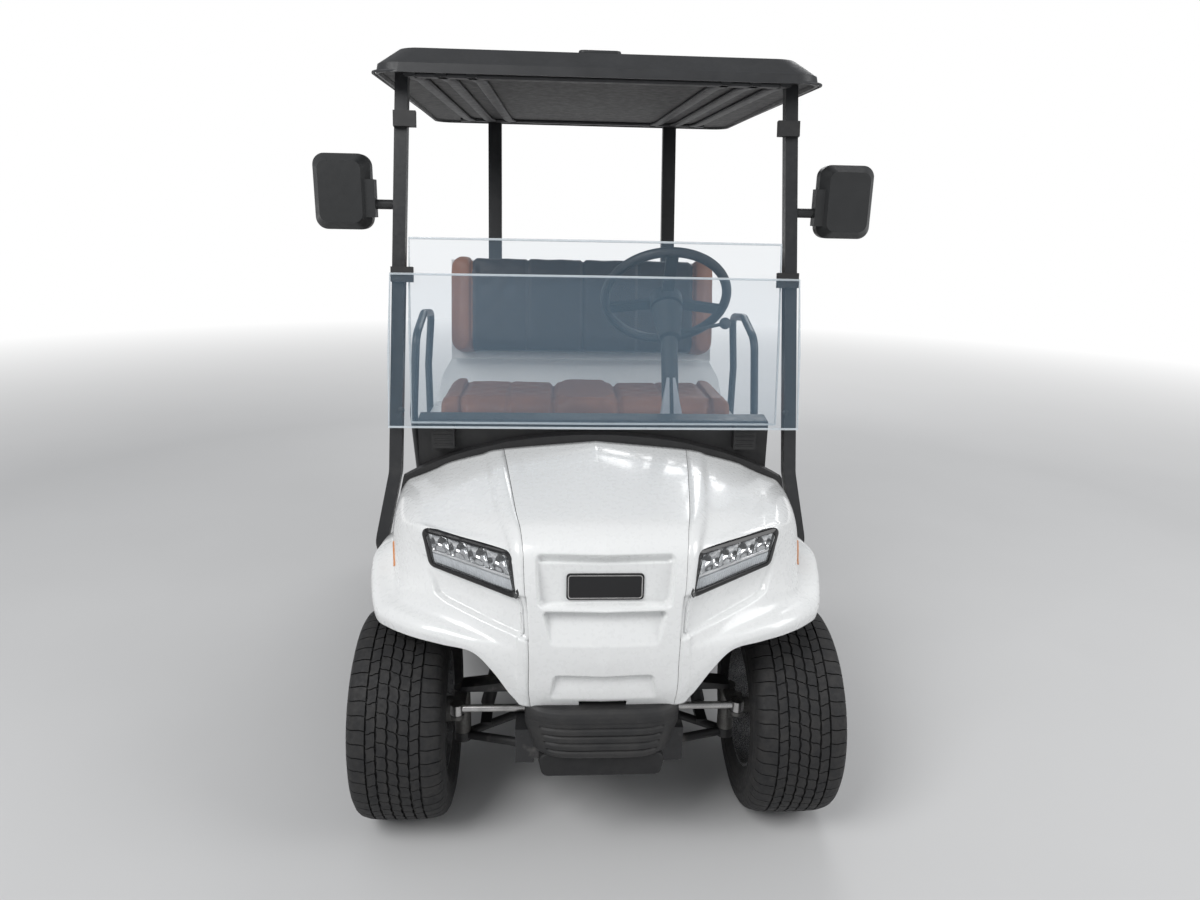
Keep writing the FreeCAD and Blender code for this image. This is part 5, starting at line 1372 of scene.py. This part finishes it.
@dataclass
class Headlights(Assembly):
    """Headlights: black bucket, four bright cells, a strip, a ribbed lamp and the lens."""

    surface: Surface
    cells: int = 4
    bezel: float = 0.0095
    ribs: int = 30
    # Shares of the lamp's length: where its cells and bands start, how long they are, wall between cells
    start: float = 0.07
    span: float = 0.86
    cell_wall: float = 0.012
    bowl_steps: int = 14

    # Corners in the front view: inner top, outer top, outer bottom, inner bottom
    CORNERS = ((0.205, 0.789), (0.410, 0.806), (0.392, 0.717), (0.182, 0.690))
    BEND = 0.016
    BULB = ((0.0, 0.0), (0.001, 0.0035), (0.004, 0.0058), (0.010, 0.0062))
    # Rows of the bands: share of the lamp's height, way behind the skin
    STRIP = ((0.37, 0.016), (0.37, 0.007), (0.385, 0.0055), (0.435, 0.0055), (0.45, 0.007), (0.45, 0.016))
    RIBBED = ((0.11, 0.012), (0.115, 0.006), (0.13, 0.005), (0.33, 0.005), (0.345, 0.006), (0.35, 0.012))

    def outline(self, inset: float) -> list[Flat]:
        """Draw the lamp's outline in the front view.

        Args:
            inset: How far it is drawn in.

        Returns:
            The outline.
        """
        middle_x = sum(corner[0] for corner in self.CORNERS) / 4
        middle_z = sum(corner[1] for corner in self.CORNERS) / 4
        corners = [(middle_x + (x - middle_x) * (1 - inset / 0.104),
                    middle_z + (z - middle_z) * (1 - inset / 0.046)) for x, z in self.CORNERS]
        return rounded(corners, max(self.BEND - inset * 0.6, 0.004), 8)

    def spot(self, side: int, across: float, up: float, behind: float) -> Vector:
        """Point in the lamp.

        Args:
            side: 1 for the driver's side, -1 for the other.
            across: Share of the way from the inner to the outer end.
            up: Share of the way from the bottom to the top.
            behind: Way behind the outer skin.

        Returns:
            The point.
        """
        inner_top, outer_top, outer_low, inner_low = [Vector((*corner, 0.0)) for corner in self.CORNERS]
        flat = inner_low.lerp(outer_low, across).lerp(inner_top.lerp(outer_top, across), up)
        place = self.surface.spot(flat.x, flat.y, behind)
        return sided(side, place)

    def loops(self, side: int, levels: Sequence[Flat]) -> tuple[list[Vector], list[Face]]:
        """Rings of points from inset and depth levels, with their faces.

        Args:
            side: 1 for the driver's side, -1 for the other.
            levels: Inset and way behind the skin of each ring.

        Returns:
            Points and faces.
        """
        points: list[Vector] = []
        for inset, behind in levels:
            points += [sided(side, self.surface.spot(x, z, behind)) for x, z in self.outline(inset)]
        return points, grid_faces(len(levels), len(self.outline(0)), True)

    def cup(self, side: int, name: str, levels: Sequence[Flat], angle: float) -> Piece:
        """Make a closed cup from rings, with a floor at the last one.

        Args:
            side: 1 for the driver's side, -1 for the other.
            name: The piece's name.
            levels: Inset and way behind the skin of each ring.
            angle: Least angle of an edge that stays sharp, in degrees.

        Returns:
            The cup.
        """
        points, faces = self.loops(side, levels)
        count = len(self.outline(0))
        faces.append(tuple(range((len(levels) - 1) * count, len(levels) * count)))
        return tidy(lay_mesh(name, points, faces), angle)

    def bucket(self, side: int) -> Piece:
        """Make the bezel and the bucket behind it.

        Args:
            side: 1 for the driver's side, -1 for the other.

        Returns:
            The bucket.
        """
        levels = [(-0.0015, 0.009), (-0.0015, 0.0), (0.0005, -0.0015), (self.bezel - 0.002, -0.0012),
                  (self.bezel - 0.0005, 0.0003), (self.bezel, 0.002), (self.bezel + 0.002, 0.034)]
        return self.cup(side, "bucket", levels, 38)

    def pane(self, side: int) -> Piece:
        """Make the clear lens."""
        steps = (0.001, 0.008, 0.016, 0.024, 0.032, 0.040)
        return self.cup(side, "pane", [(self.bezel, 0.0015)] + [(self.bezel + step,
                                                                 0.0005) for step in steps], 60)

    def reflectors(self, side: int) -> Piece:
        """Make the row of bright reflector cells, each a bowl with raised edges.

        Args:
            side: 1 for the driver's side, -1 for the other.

        Returns:
            The cells.
        """
        points: list[Vector] = []
        faces: list[Face] = []
        steps = self.bowl_steps
        for cell in range(self.cells):
            base = len(points)
            start = self.start + self.span * cell / self.cells
            end = start + self.span / self.cells - self.cell_wall
            for row in range(steps + 1):
                for column in range(steps + 1):
                    a, b = column / steps, row / steps
                    bowl = (1 - abs(2 * a - 1) ** 2.6) * (1 - abs(2 * b - 1) ** 2.6)
                    points.append(self.spot(side, start + (end - start) * a, 0.47 + 0.40 * b,
                                            0.005 + 0.018 * bowl))
            faces += [tuple(base + corner for corner in face) for face in grid_faces(steps + 1, steps + 1)]
        return tidy(lay_mesh("reflectors", points, faces), 60)

    def bulbs(self, side: int) -> Piece:
        """Make the dark lamp in each cell.

        Args:
            side: 1 for the driver's side, -1 for the other.

        Returns:
            The lamps.
        """
        pieces = []
        for cell in range(self.cells):
            across = self.start + self.span * (cell + 0.5) / self.cells - self.cell_wall / 2
            pieces.append(turned("bulb", self.BULB, self.spot(side, across, 0.67, 0.014), (0, 1, 0), 20))
        return merged("bulbs", pieces)

    def band(self, side: int, name: str, rows: Sequence[Flat], columns: int, swell: float,
             angle: float) -> Piece:
        """Make a raised band across the lamp.

        Args:
            side: 1 for the driver's side, -1 for the other.
            name: The piece's name.
            rows: Share of the lamp's height and way behind the skin of each row.
            columns: Steps across.
            swell: Depth of its ribs, of four steps each.
            angle: Least angle of an edge that stays sharp, in degrees.

        Returns:
            The band.
        """
        points: list[Vector] = []
        for up, behind in rows:
            for step in range(columns + 1):
                deeper = behind + swell * (1 - math.cos(math.tau * step / 4)) / 2
                points.append(self.spot(side, self.start + self.span * step / columns, up, deeper))
        return tidy(lay_mesh(name, points, grid_faces(len(rows), columns + 1)), angle)

    def strip(self, side: int) -> Piece:
        """Make the bright strip between the cells and the lower lamp."""
        return self.band(side, "strip", self.STRIP, 24, 0.0, 50)

    def ribbed(self, side: int) -> Piece:
        """Make the ribbed lower lamp."""
        return self.band(side, "ribbed", self.RIBBED, self.ribs * 4, 0.0018, 70)

    def build(self) -> None:
        """Make both headlights."""
        rows = (
            ("headlight_buckets", self.bucket, "lamp_black", "lamp_black", ("headlight_housings",)),
            ("headlight_panes", self.pane, "lamp_lens", "lamp_lens", ("headlight_lenses",)),
            ("headlight_reflectors", self.reflectors, "chrome", None, ()),
            ("headlight_bulbs", self.bulbs, "lamp_black", None, ()),
            ("headlight_ribs", self.ribbed, "lamp_frosted", None, ()),
            ("headlight_strips", self.strip, "chrome", None, ()),
        )
        for name, build, finish, slot, replaces in rows:
            self.add(mirrored_pair(name, build), finish, "chassis", slot, replaces)


@dataclass
class NoseTrim(Assembly):
    """Silver rim of the blank nose plate, and side markers."""

    surface: Surface
    rim_inset: float = 0.0042
    # Side marker: places across and heights
    MARKER = ((0.499, 0.712), (0.4975, 0.700), (0.496, 0.690), (0.4945, 0.678), (0.493, 0.664))

    def build(self) -> None:
        """Make the nose's trim."""
        low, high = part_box("badge_plate")
        edge = self.rim_inset
        rim = oblong((low.x + edge, low.z + edge), (high.x - edge, high.z - edge), 0.006)
        path = [at(x, low.y - AXLE_Y, z) for x, z in rim]
        band = sweep("badge_rim", path, flat_section(0.0024, 0.0020, 0.0006), True, Vector((0, 1, 0)))
        self.add(band, "bright_steel")
        for side, name in ((1, "left"), (-1, "right")):
            path = [sided(side, self.surface.spot(x, z, -0.0005)) for x, z in self.MARKER]
            marker = sweep(f"side_marker_{name}", path, flat_section(0.010, 0.004, 0.0016), False,
                           Vector((side, -0.6, 0)))
            self.add(marker, "marker_amber")


@dataclass
class Bumper(Assembly):
    """Moulded front bumper with its rolled shoulder and grooves, and a dark block under it that paints the
    bumper's shadow.
    """

    half_top: float = 0.175
    half_low: float = 0.149
    roll_back: float = 0.040
    columns: int = 96
    grooves: tuple[float, ...] = (0.381, 0.362, 0.343, 0.324)
    groove_deep: float = 0.005
    groove_half: float = 0.0028
    groove_reach: float = 0.80
    step_length: float = 0.0022
    wall: float = 0.004

    # Profile from the top's rear edge round the nose to the underside: station and height
    PROFILE = ((-0.190, 0.4285), (-0.262, 0.4285), (-0.272, 0.4270), (-0.280, 0.4210), (-0.2845, 0.4110),
               (-0.2848, 0.4000), (-0.2820, 0.3950), (-0.2820, 0.3120), (-0.2780, 0.3060), (-0.2700, 0.3025),
               (-0.190, 0.3022))
    # Painted shadow block under the bumper: outline from the front, and its front and back
    PAINTED_SHADOW = ((-0.148, 0.305), (0.148, 0.305), (0.136, 0.246), (-0.136, 0.246))
    PAINTED_SHADOW_SPAN = (-0.262, -0.196)

    def station(self, across: float, height: float, start: float) -> float:
        """Place a point of the bumper along the cart, with the grooves and the rolled ends.

        Args:
            across: Share of the half width, from -1 to 1.
            height: Its height.
            start: Place of the profile there.

        Returns:
            The place from the front axle.
        """
        if start < -0.27 and abs(across) < self.groove_reach:
            for groove in self.grooves:
                start += self.groove_deep * math.exp(-((height - groove) / self.groove_half) ** 2)
        return start + self.roll_back * abs(across) ** 5

    def build(self) -> None:
        """Make the bumper and the dark block under it, which paints its shadow."""
        profile = []
        for (near, top), (far, low) in zip(self.PROFILE, self.PROFILE[1:]):
            count = max(1, int(math.hypot(far - near, low - top) / self.step_length))
            profile += [(near + (far - near) * step / count, top + (low - top) * step / count)
                        for step in range(count)]
        profile.append(self.PROFILE[-1])
        points = []
        for start, height in profile:
            share = (height - 0.302) / 0.127
            half = self.half_low + (self.half_top - self.half_low) * min(1.0, share * 1.6)
            for step in range(self.columns + 1):
                across = 2 * step / self.columns - 1
                points.append(at(half * across, self.station(across, height, start), height))
        piece = tidy(lay_mesh("bumper_dressed", points, grid_faces(len(profile), self.columns + 1)), 50)
        modify(piece, "SOLIDIFY", thickness=self.wall, offset=-1.0)
        self.add(piece, "bumper_black", "chassis", "bumper_black", ["front_bumper"])
        # Dark block under the bumper: painted shadow of the bumper on the ground, not a real part.
        painted_shadow = prism("bumper_painted_shadow", rounded(self.PAINTED_SHADOW, 0.018), *self.PAINTED_SHADOW_SPAN, bevel=0.006)
        self.add(painted_shadow, "liner_dark")


@dataclass
class Windscreen(Assembly):
    """Polished edges of both panes, pale to paint the highlight in them, rest buttons on the posts and ridges
    of the rest blocks.
    """

    pane_thick: float = 0.005
    edge_wide: float = 0.006
    edge_inset: float = 0.004
    button_place: Flat = (0.508, 0.985)
    ridge_ends: Flat = (0.378, 0.426)
    ridge_levels: tuple[float, ...] = (0.896, 0.908, 0.920, 0.932)

    # Button: distance along its axis and from it
    BUTTON = ((0.0, 0.0), (0.0, 0.0085), (0.003, 0.0085), (0.0045, 0.0065), (0.005, 0.0))

    def corners(self, node: str) -> list[Vector]:
        """Find the corners of a pane's front face.

        Args:
            node: The pane's node.

        Returns:
            The corners, in order round the face.
        """
        spots = [vertex.co for vertex in frame["nodes"][node].data.vertices]
        found = []
        for x_sign, z_sign in ((-1, -1), (1, -1), (1, 1), (-1, 1)):
            found.append(max(spots, key=lambda spot: x_sign * spot.x * 10 + z_sign * spot.z * 3 - spot.y))
        return [Vector(spot) for spot in found]

    def build(self) -> None:
        """Dress the windscreen."""
        for node, body in (("windscreen_lower", "chassis"), ("windscreen_upper", "windscreen_upper")):
            ring = self.corners(node)
            behind = (ring[2] - ring[1]).cross(ring[1] - ring[0]).normalized() * self.pane_thick / 2
            ring = [corner - behind * (1 if behind.y < 0 else -1) for corner in ring]
            middle = sum(ring, Vector()) / 4
            path = []
            for number, corner in enumerate(ring):
                after = ring[(number + 1) % 4]
                path += [corner + (middle - corner) * self.edge_inset, corner.lerp(after, 0.5)]
            section = flat_section(self.edge_wide, self.pane_thick + 0.0006, 0.001)
            across = (ring[1] - ring[0]).cross(ring[2] - ring[1]).normalized()
            strip = sweep(f"{node}_edge", path, section, True, across)
            # The edge strips' pale colour is painted highlight.
            self.add(strip, "pane_edge_highlight", body)
        self.fasteners()

    def fasteners(self) -> None:
        """Make the rest buttons on the posts behind the folded pane, and the ridges of the rest blocks."""
        posts = surface_of("front_posts")
        blocks = surface_of("windscreen_clamps")
        across, up = self.button_place
        buttons, ridges = [], []
        for side in (1, -1):
            buttons.append(turned("button", self.BUTTON, posts.spot(side * across, up), (0, -1, 0.18), 24))
            for level in self.ridge_levels:
                path = [blocks.spot(side * end, level, -0.0005) for end in self.ridge_ends]
                ridges.append(sweep("ridge", path, flat_section(0.005, 0.003, 0.001)))
        self.add(merged("post_buttons", buttons), "black_trim")
        self.add(merged("rest_ridges", ridges), "black_trim")


@dataclass
class Roof(Assembly):
    """Ridges under the roof and the drip edge, in a lighter grey that paints their highlights, and the raised
    pad above its visor.
    """

    ridge_level: float = 1.8095
    ridges: tuple[float, ...] = (0.30, 0.375, 0.45)
    cross_half: float = 0.46
    drip_bend: float = 0.058

    # Raised pad: corners behind the canopy's front edge
    PAD = ((-0.055, 0.075), (0.055, 0.075), (0.05, 0.12), (-0.05, 0.12))

    def build(self) -> None:
        """Dress the roof."""
        low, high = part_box("roof_liner")
        front, back = low.y - AXLE_Y + 0.05, high.y - AXLE_Y - 0.06
        pieces = []
        for across in self.ridges:
            stations = ((across + 0.02, front), (across, front + 0.10), (across - 0.02, back - 0.10),
                        (across - 0.04, back))
            for side in (1, -1):
                path = [at(side * x, y, self.ridge_level) for x, y in stations]
                pieces.append(sweep("ridge", path, flat_section(0.030, 0.010, 0.004)))
        for station in (front + 0.02, back - 0.02):
            path = [at(side * self.cross_half, station, self.ridge_level) for side in (-1, 1)]
            pieces.append(sweep("ridge", path, flat_section(0.036, 0.010, 0.004)))
        # The ridges' lighter grey paints the highlights along them.
        self.add(merged("roof_ridges", pieces), "liner_ridge_highlight")
        low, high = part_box("roof_canopy")
        near, far = low.y - AXLE_Y, high.y - AXLE_Y
        outline = rounded([(x, near + y) for x, y in self.PAD], 0.014)
        pad = prism("roof_pad", outline, high.z - 0.016, high.z - 0.0045, Axis.Z, 0.004)
        self.add(pad, "roof_black")
        ring = rounded([(low.x + 0.004, near + 0.004), (high.x - 0.004, near + 0.004),
                        (high.x - 0.006, far - 0.004), (low.x + 0.006, far - 0.004)], self.drip_bend, 10)
        path = [at(x, y, low.z + 0.003) for x, y in ring]
        # The drip edge's lighter grey is painted highlight.
        self.add(sweep("roof_drip_edge", path, flat_section(0.006, 0.006, 0.002), True), "liner_ridge_highlight")


@dataclass
class Mirrors(Assembly):
    """Glass of both outside mirrors, with its bezel."""

    shell_wide: float = 0.142
    border: float = 0.009

    def build(self) -> None:
        """Make the mirrors' glass."""
        low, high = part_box("mirrors")
        face = high.y - AXLE_Y
        ring = oblong((high.x - self.shell_wide + self.border, low.z + self.border),
                      (high.x - self.border, high.z - self.border), 0.022)
        for side, name in ((1, "left"), (-1, "right")):
            outline = [(side * x, z) for x, z in ring]
            glass = prism(f"mirror_glass_{name}", outline, face - 0.0026, face - 0.0006)
            self.add(glass, "mirror_glass")
            path = [at(x, face - 0.001, z) for x, z in outline]
            bezel = sweep(f"mirror_bezel_{name}", path, flat_section(0.002, 0.003, 0.0006), True,
                          Vector((0, 1, 0)))
            self.add(bezel, "black_trim")


@dataclass
class Cushion:
    """One seat cushion: inflated cloth over the CAD form, with sewn channels."""

    name: str
    node: str
    body: str
    cap: float
    # Channels: place across, half width, depth
    channels: tuple[Point, ...]
    voxel: float = 0.009
    pressure: float = 4.0
    shrink: float = 0.985
    fill: float = 0.75


@dataclass
class Seats(Assembly):
    """Seat bottom, and seat back with its dark centre."""

    steps: int = 20
    centre_half: float = 0.408
    margin: float = 0.0003
    ripple: float = 0.0011
    cushions: tuple[Cushion, ...] = (
        Cushion("seat_bottom", "seat_cushion", "seat_lid", 0.014,
                ((0.108, 0.009, 0.014), (-0.108, 0.009, 0.014), (0.41, 0.009, 0.014), (-0.41, 0.009, 0.014),
                 (0.26, 0.005, 0.005), (-0.26, 0.005, 0.005))),
        Cushion("seat_back", "seat_back_cushion", "chassis", 0.012,
                ((0.0, 0.006, 0.009), (0.408, 0.008, 0.012), (-0.408, 0.008, 0.012), (0.204, 0.005, 0.006),
                 (-0.204, 0.005, 0.006))),
    )

    def shape(self, cushion: Cushion) -> Piece:
        """Copy a cushion's CAD form, a little smaller, as one even closed mesh.

        Args:
            cushion: The cushion.

        Returns:
            The piece.
        """
        node = frame["nodes"][cushion.node]
        mesh = node.data.copy()
        mesh.transform(node.matrix_world)
        piece = bpy.data.objects.new(cushion.name, mesh)
        bpy.context.scene.collection.objects.link(piece)
        low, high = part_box(cushion.node)
        middle = (low + high) / 2
        mesh.transform(Matrix.Translation(middle) @ Matrix.Scale(cushion.shrink,
                                                                 4) @ Matrix.Translation(-middle))
        modify(piece, "REMESH", mode="VOXEL", voxel_size=cushion.voxel, use_smooth_shade=True)
        return modify(piece, "SMOOTH", factor=0.5, iterations=12)

    def inflate(self, piece: Piece, cushion: Cushion) -> None:
        """Swell a cushion by a short cloth simulation, with a cap on how far a point moves.

        Args:
            piece: The cushion's piece.
            cushion: The cushion.
        """
        start = np.empty(len(piece.data.vertices) * 3)
        piece.data.vertices.foreach_get("co", start)
        cloth = piece.modifiers.new("cloth", "CLOTH")
        cloth.settings.use_pressure = True
        cloth.settings.uniform_pressure_force = cushion.pressure
        cloth.settings.effector_weights.gravity = 0.0
        cloth.settings.tension_stiffness = 12
        cloth.settings.bending_stiffness = 0.6
        cloth.settings.quality = 4
        for step in range(1, self.steps + 1):
            bpy.context.scene.frame_set(step)
        graph = bpy.context.evaluated_depsgraph_get()
        moved = bpy.data.meshes.new_from_object(piece.evaluated_get(graph))
        end = np.empty_like(start)
        moved.vertices.foreach_get("co", end)
        piece.modifiers.clear()
        bpy.data.meshes.remove(moved)
        bpy.context.scene.frame_set(1)
        way = (end - start).reshape(-1, 3)
        reach = np.linalg.norm(way, axis=1, keepdims=True)
        held = way * np.minimum(1.0, cushion.cap / np.maximum(reach, 1e-9))
        piece.data.vertices.foreach_set("co", (start.reshape(-1, 3) + held).ravel())

    def sew(self, piece: Piece, cushion: Cushion) -> None:
        """Press the sewn channels and soft ripples into a cushion, and keep it inside its CAD box.

        Args:
            piece: The cushion's piece.
            cushion: The cushion.
        """
        count = len(piece.data.vertices)
        spots = np.empty(count * 3)
        normals = np.empty(count * 3)
        piece.data.vertices.foreach_get("co", spots)
        piece.data.vertex_normals.foreach_get("vector", normals)
        spots, normals = spots.reshape(-1, 3), normals.reshape(-1, 3)
        low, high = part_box(cushion.node)
        faced = ease((np.maximum(normals[:, 2], -normals[:, 1]) - 0.1) / 0.4)
        sunk = np.zeros(count)
        for across, half, depth in cushion.channels:
            sunk = np.maximum(sunk, depth * np.exp(-((spots[:, 0] - across) / half) ** 2))
        spots -= normals * (sunk * faced)[:, None]
        waves = self.ripple * np.sin(spots[:, 0] * 61) * np.sin(spots[:, 1] * 83 + spots[:, 2] * 47)
        spots += normals * (waves * faced)[:, None]
        spots = np.clip(spots, np.array(low) + self.margin, np.array(high) - self.margin)
        piece.data.vertices.foreach_set("co", spots.ravel())
        piece.data.update()

    def build(self) -> None:
        """Make both cushions."""
        for cushion in self.cushions:
            piece = self.shape(cushion)
            self.inflate(piece, cushion)
            modify(piece, "SUBSURF", levels=1, render_levels=1)
            self.sew(piece, cushion)
            soften(piece, 80)
            self.add(piece, "tan_vinyl", cushion.body, "tan_vinyl", [cushion.node])
        self.insert()

    def insert(self) -> None:
        """Give the seat back its dark centre, split off along its outer channels."""
        back = bpy.data.objects["seat_back"]
        middle = back.copy()
        middle.data = back.data.copy()
        middle.name = "seat_back_centre"
        bpy.context.scene.collection.objects.link(middle)
        for piece, inside in ((back, False), (middle, True)):
            with reshaping(piece.data) as shape:
                drop = [face for face in shape.faces
                        if (abs(face.calc_center_median().x) < self.centre_half) != inside]
                bmesh.ops.delete(shape, geom=drop, context="FACES")
        self.add(middle, "seat_centre_vinyl")


@dataclass
class Steering(Assembly):
    """Pale tapered panels on the column's boot."""

    middle: float = 0.22
    foot: float = 0.925
    tall: float = 0.12
    steps: int = 6
    depths: Flat = (-0.004, 0.020)
    # Way from the column's middle at the foot and at the top: inner edge, outer edge
    edges: tuple[Flat, Flat] = ((0.006, 0.005), (0.034, 0.012))

    def build(self) -> None:
        """Make the steering's dress."""
        column = surface_of("steering_column")
        pieces = []
        rows = self.steps + 1
        for side in (1, -1):
            points = []
            for depth in self.depths:
                for step in range(rows):
                    spot = column.spot(self.middle, self.foot + self.tall * step / self.steps, depth)
                    for near, far in self.edges:
                        points.append(spot + Vector((side * (near + (far - near) * step / self.steps), 0, 0)))
            count = 2 * rows
            faces = grid_faces(rows,
                               2) + [tuple(count + corner for corner in face) for face in grid_faces(rows, 2)]
            rim = list(range(0, count, 2)) + list(range(count - 1, 0, -2))
            faces += [(a, b, b + count, a + count) for a, b in zip(rim, rim[1:] + rim[:1])]
            pieces.append(tidy(lay_mesh("panel", points, faces)))
        self.add(merged("column_panels", pieces), "panel_grey")


@dataclass
class Cabin(Assembly):
    """Ribs of the floor mat and of the pedals."""

    rib_pitch: float = 0.032
    mat_front: float = 0.455
    mat_level: float = 0.3765
    # Middle of both pedals along the cart and above the ground, their lean and their half thickness
    pedal_place: Flat = (0.490, 0.480)
    pedal_lean: float = -35.0
    pedal_half: float = 0.0055
    pad_pitch: float = 0.012
    # Pedals: place across and width
    pedals: tuple[Flat, Flat] = ((0.150, 0.090), (0.270, 0.060))

    def build(self) -> None:
        """Make the cabin's dress."""
        low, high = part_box("floor_pan")
        back = high.y - AXLE_Y - 0.02
        ribs = []
        count = int((high.x - low.x - 0.06) / self.rib_pitch)
        for number in range(count + 1):
            x = (number - count / 2) * self.rib_pitch
            path = [at(x, station, self.mat_level) for station in (self.mat_front, back)]
            ribs.append(sweep("rib", path, flat_section(0.008, 0.005, 0.0015)))
        self.add(merged("floor_ribs", ribs), "floor_mat")
        pads = []
        lean = math.radians(self.pedal_lean)
        for middle, wide in self.pedals:
            for step in range(-3, 4):
                up = step * self.pad_pitch
                station = self.pedal_place[0] - self.pedal_half * math.cos(lean) - up * math.sin(lean)
                height = self.pedal_place[1] + self.pedal_half * math.sin(lean) + up * math.cos(lean)
                path = [at(middle + side * (wide / 2 - 0.006), station, height) for side in (-1, 1)]
                pads.append(sweep("ridge", path, ring_section(0.0028, 8)))
        self.add(merged("pedal_ridges", pads), "pedal_rubber")


@dataclass
class Tail(Assembly):
    """Tail lamp frames, and the straps of the bag rack with their buckles."""

    tube: float = 0.013
    strap_places: Flat = (-0.17, 0.17)
    buckle_half: float = 0.019

    # Strap round the rack's bar: way behind the bar's middle, and above it
    STRAP = ((-0.018, 0.0), (-0.013, 0.014), (0.0, 0.0165), (0.013, 0.012), (0.017, -0.03), (0.016, -0.16))

    def build(self) -> None:
        """Make the tail's dress."""
        low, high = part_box("tail_lights")
        face = high.y - AXLE_Y
        outline = rounded([(0.374, low.z + 0.005), (0.460, low.z + 0.011), (0.464, high.z - 0.009),
                           (0.380, high.z - 0.005)], 0.012)
        frames = []
        for side in (1, -1):
            path = [at(side * x, face - 0.003, z) for x, z in outline]
            frames.append(sweep("frame", path, flat_section(0.005, 0.005, 0.0015), True, Vector((0, 1, 0))))
        self.add(merged("tail_lamp_frames", frames), "lamp_black")
        low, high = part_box("bag_rack")
        bar = high.y - AXLE_Y - self.tube
        level = (low.z + high.z) / 2 + 0.005
        straps, buckles = [], []
        for middle in self.strap_places:
            loop = [at(middle, bar + behind, level + up) for behind, up in self.STRAP]
            straps.append(sweep("strap", loop, flat_section(0.026, 0.003, 0.001), False, Vector((0, 1, 0.2))))
            plate = oblong((middle - self.buckle_half, level - 0.075), (middle + self.buckle_half,
                                                                        level - 0.035), 0.005)
            buckles.append(prism("buckle", plate, bar + 0.015, bar + 0.023, bevel=0.002))
        self.add(merged("bag_straps", straps), "webbing")
        self.add(merged("strap_buckles", buckles), "black_trim")


def main() -> None:
    """Dress the frame and build each sub-assembly in turn."""
    logging.basicConfig(level=logging.INFO)
    finishes = Finishes()
    dress(finishes)
    LOG.info("dressed %d nodes", len(frame["nodes"]))
    Studio().build()
    front = FrontBody(finishes)
    front.build()
    LOG.info("built FrontBody")
    for part in (Headlights(finishes, front.plain), NoseTrim(finishes, front.surface), Bumper(finishes),
                 Tyres(finishes), Rims(finishes), Windscreen(finishes), Roof(finishes), Mirrors(finishes),
                 Seats(finishes), Steering(finishes), Cabin(finishes), Tail(finishes)):
        part.build()
        LOG.info("built %s", type(part).__name__)


if __name__ == "__main__":
    main()
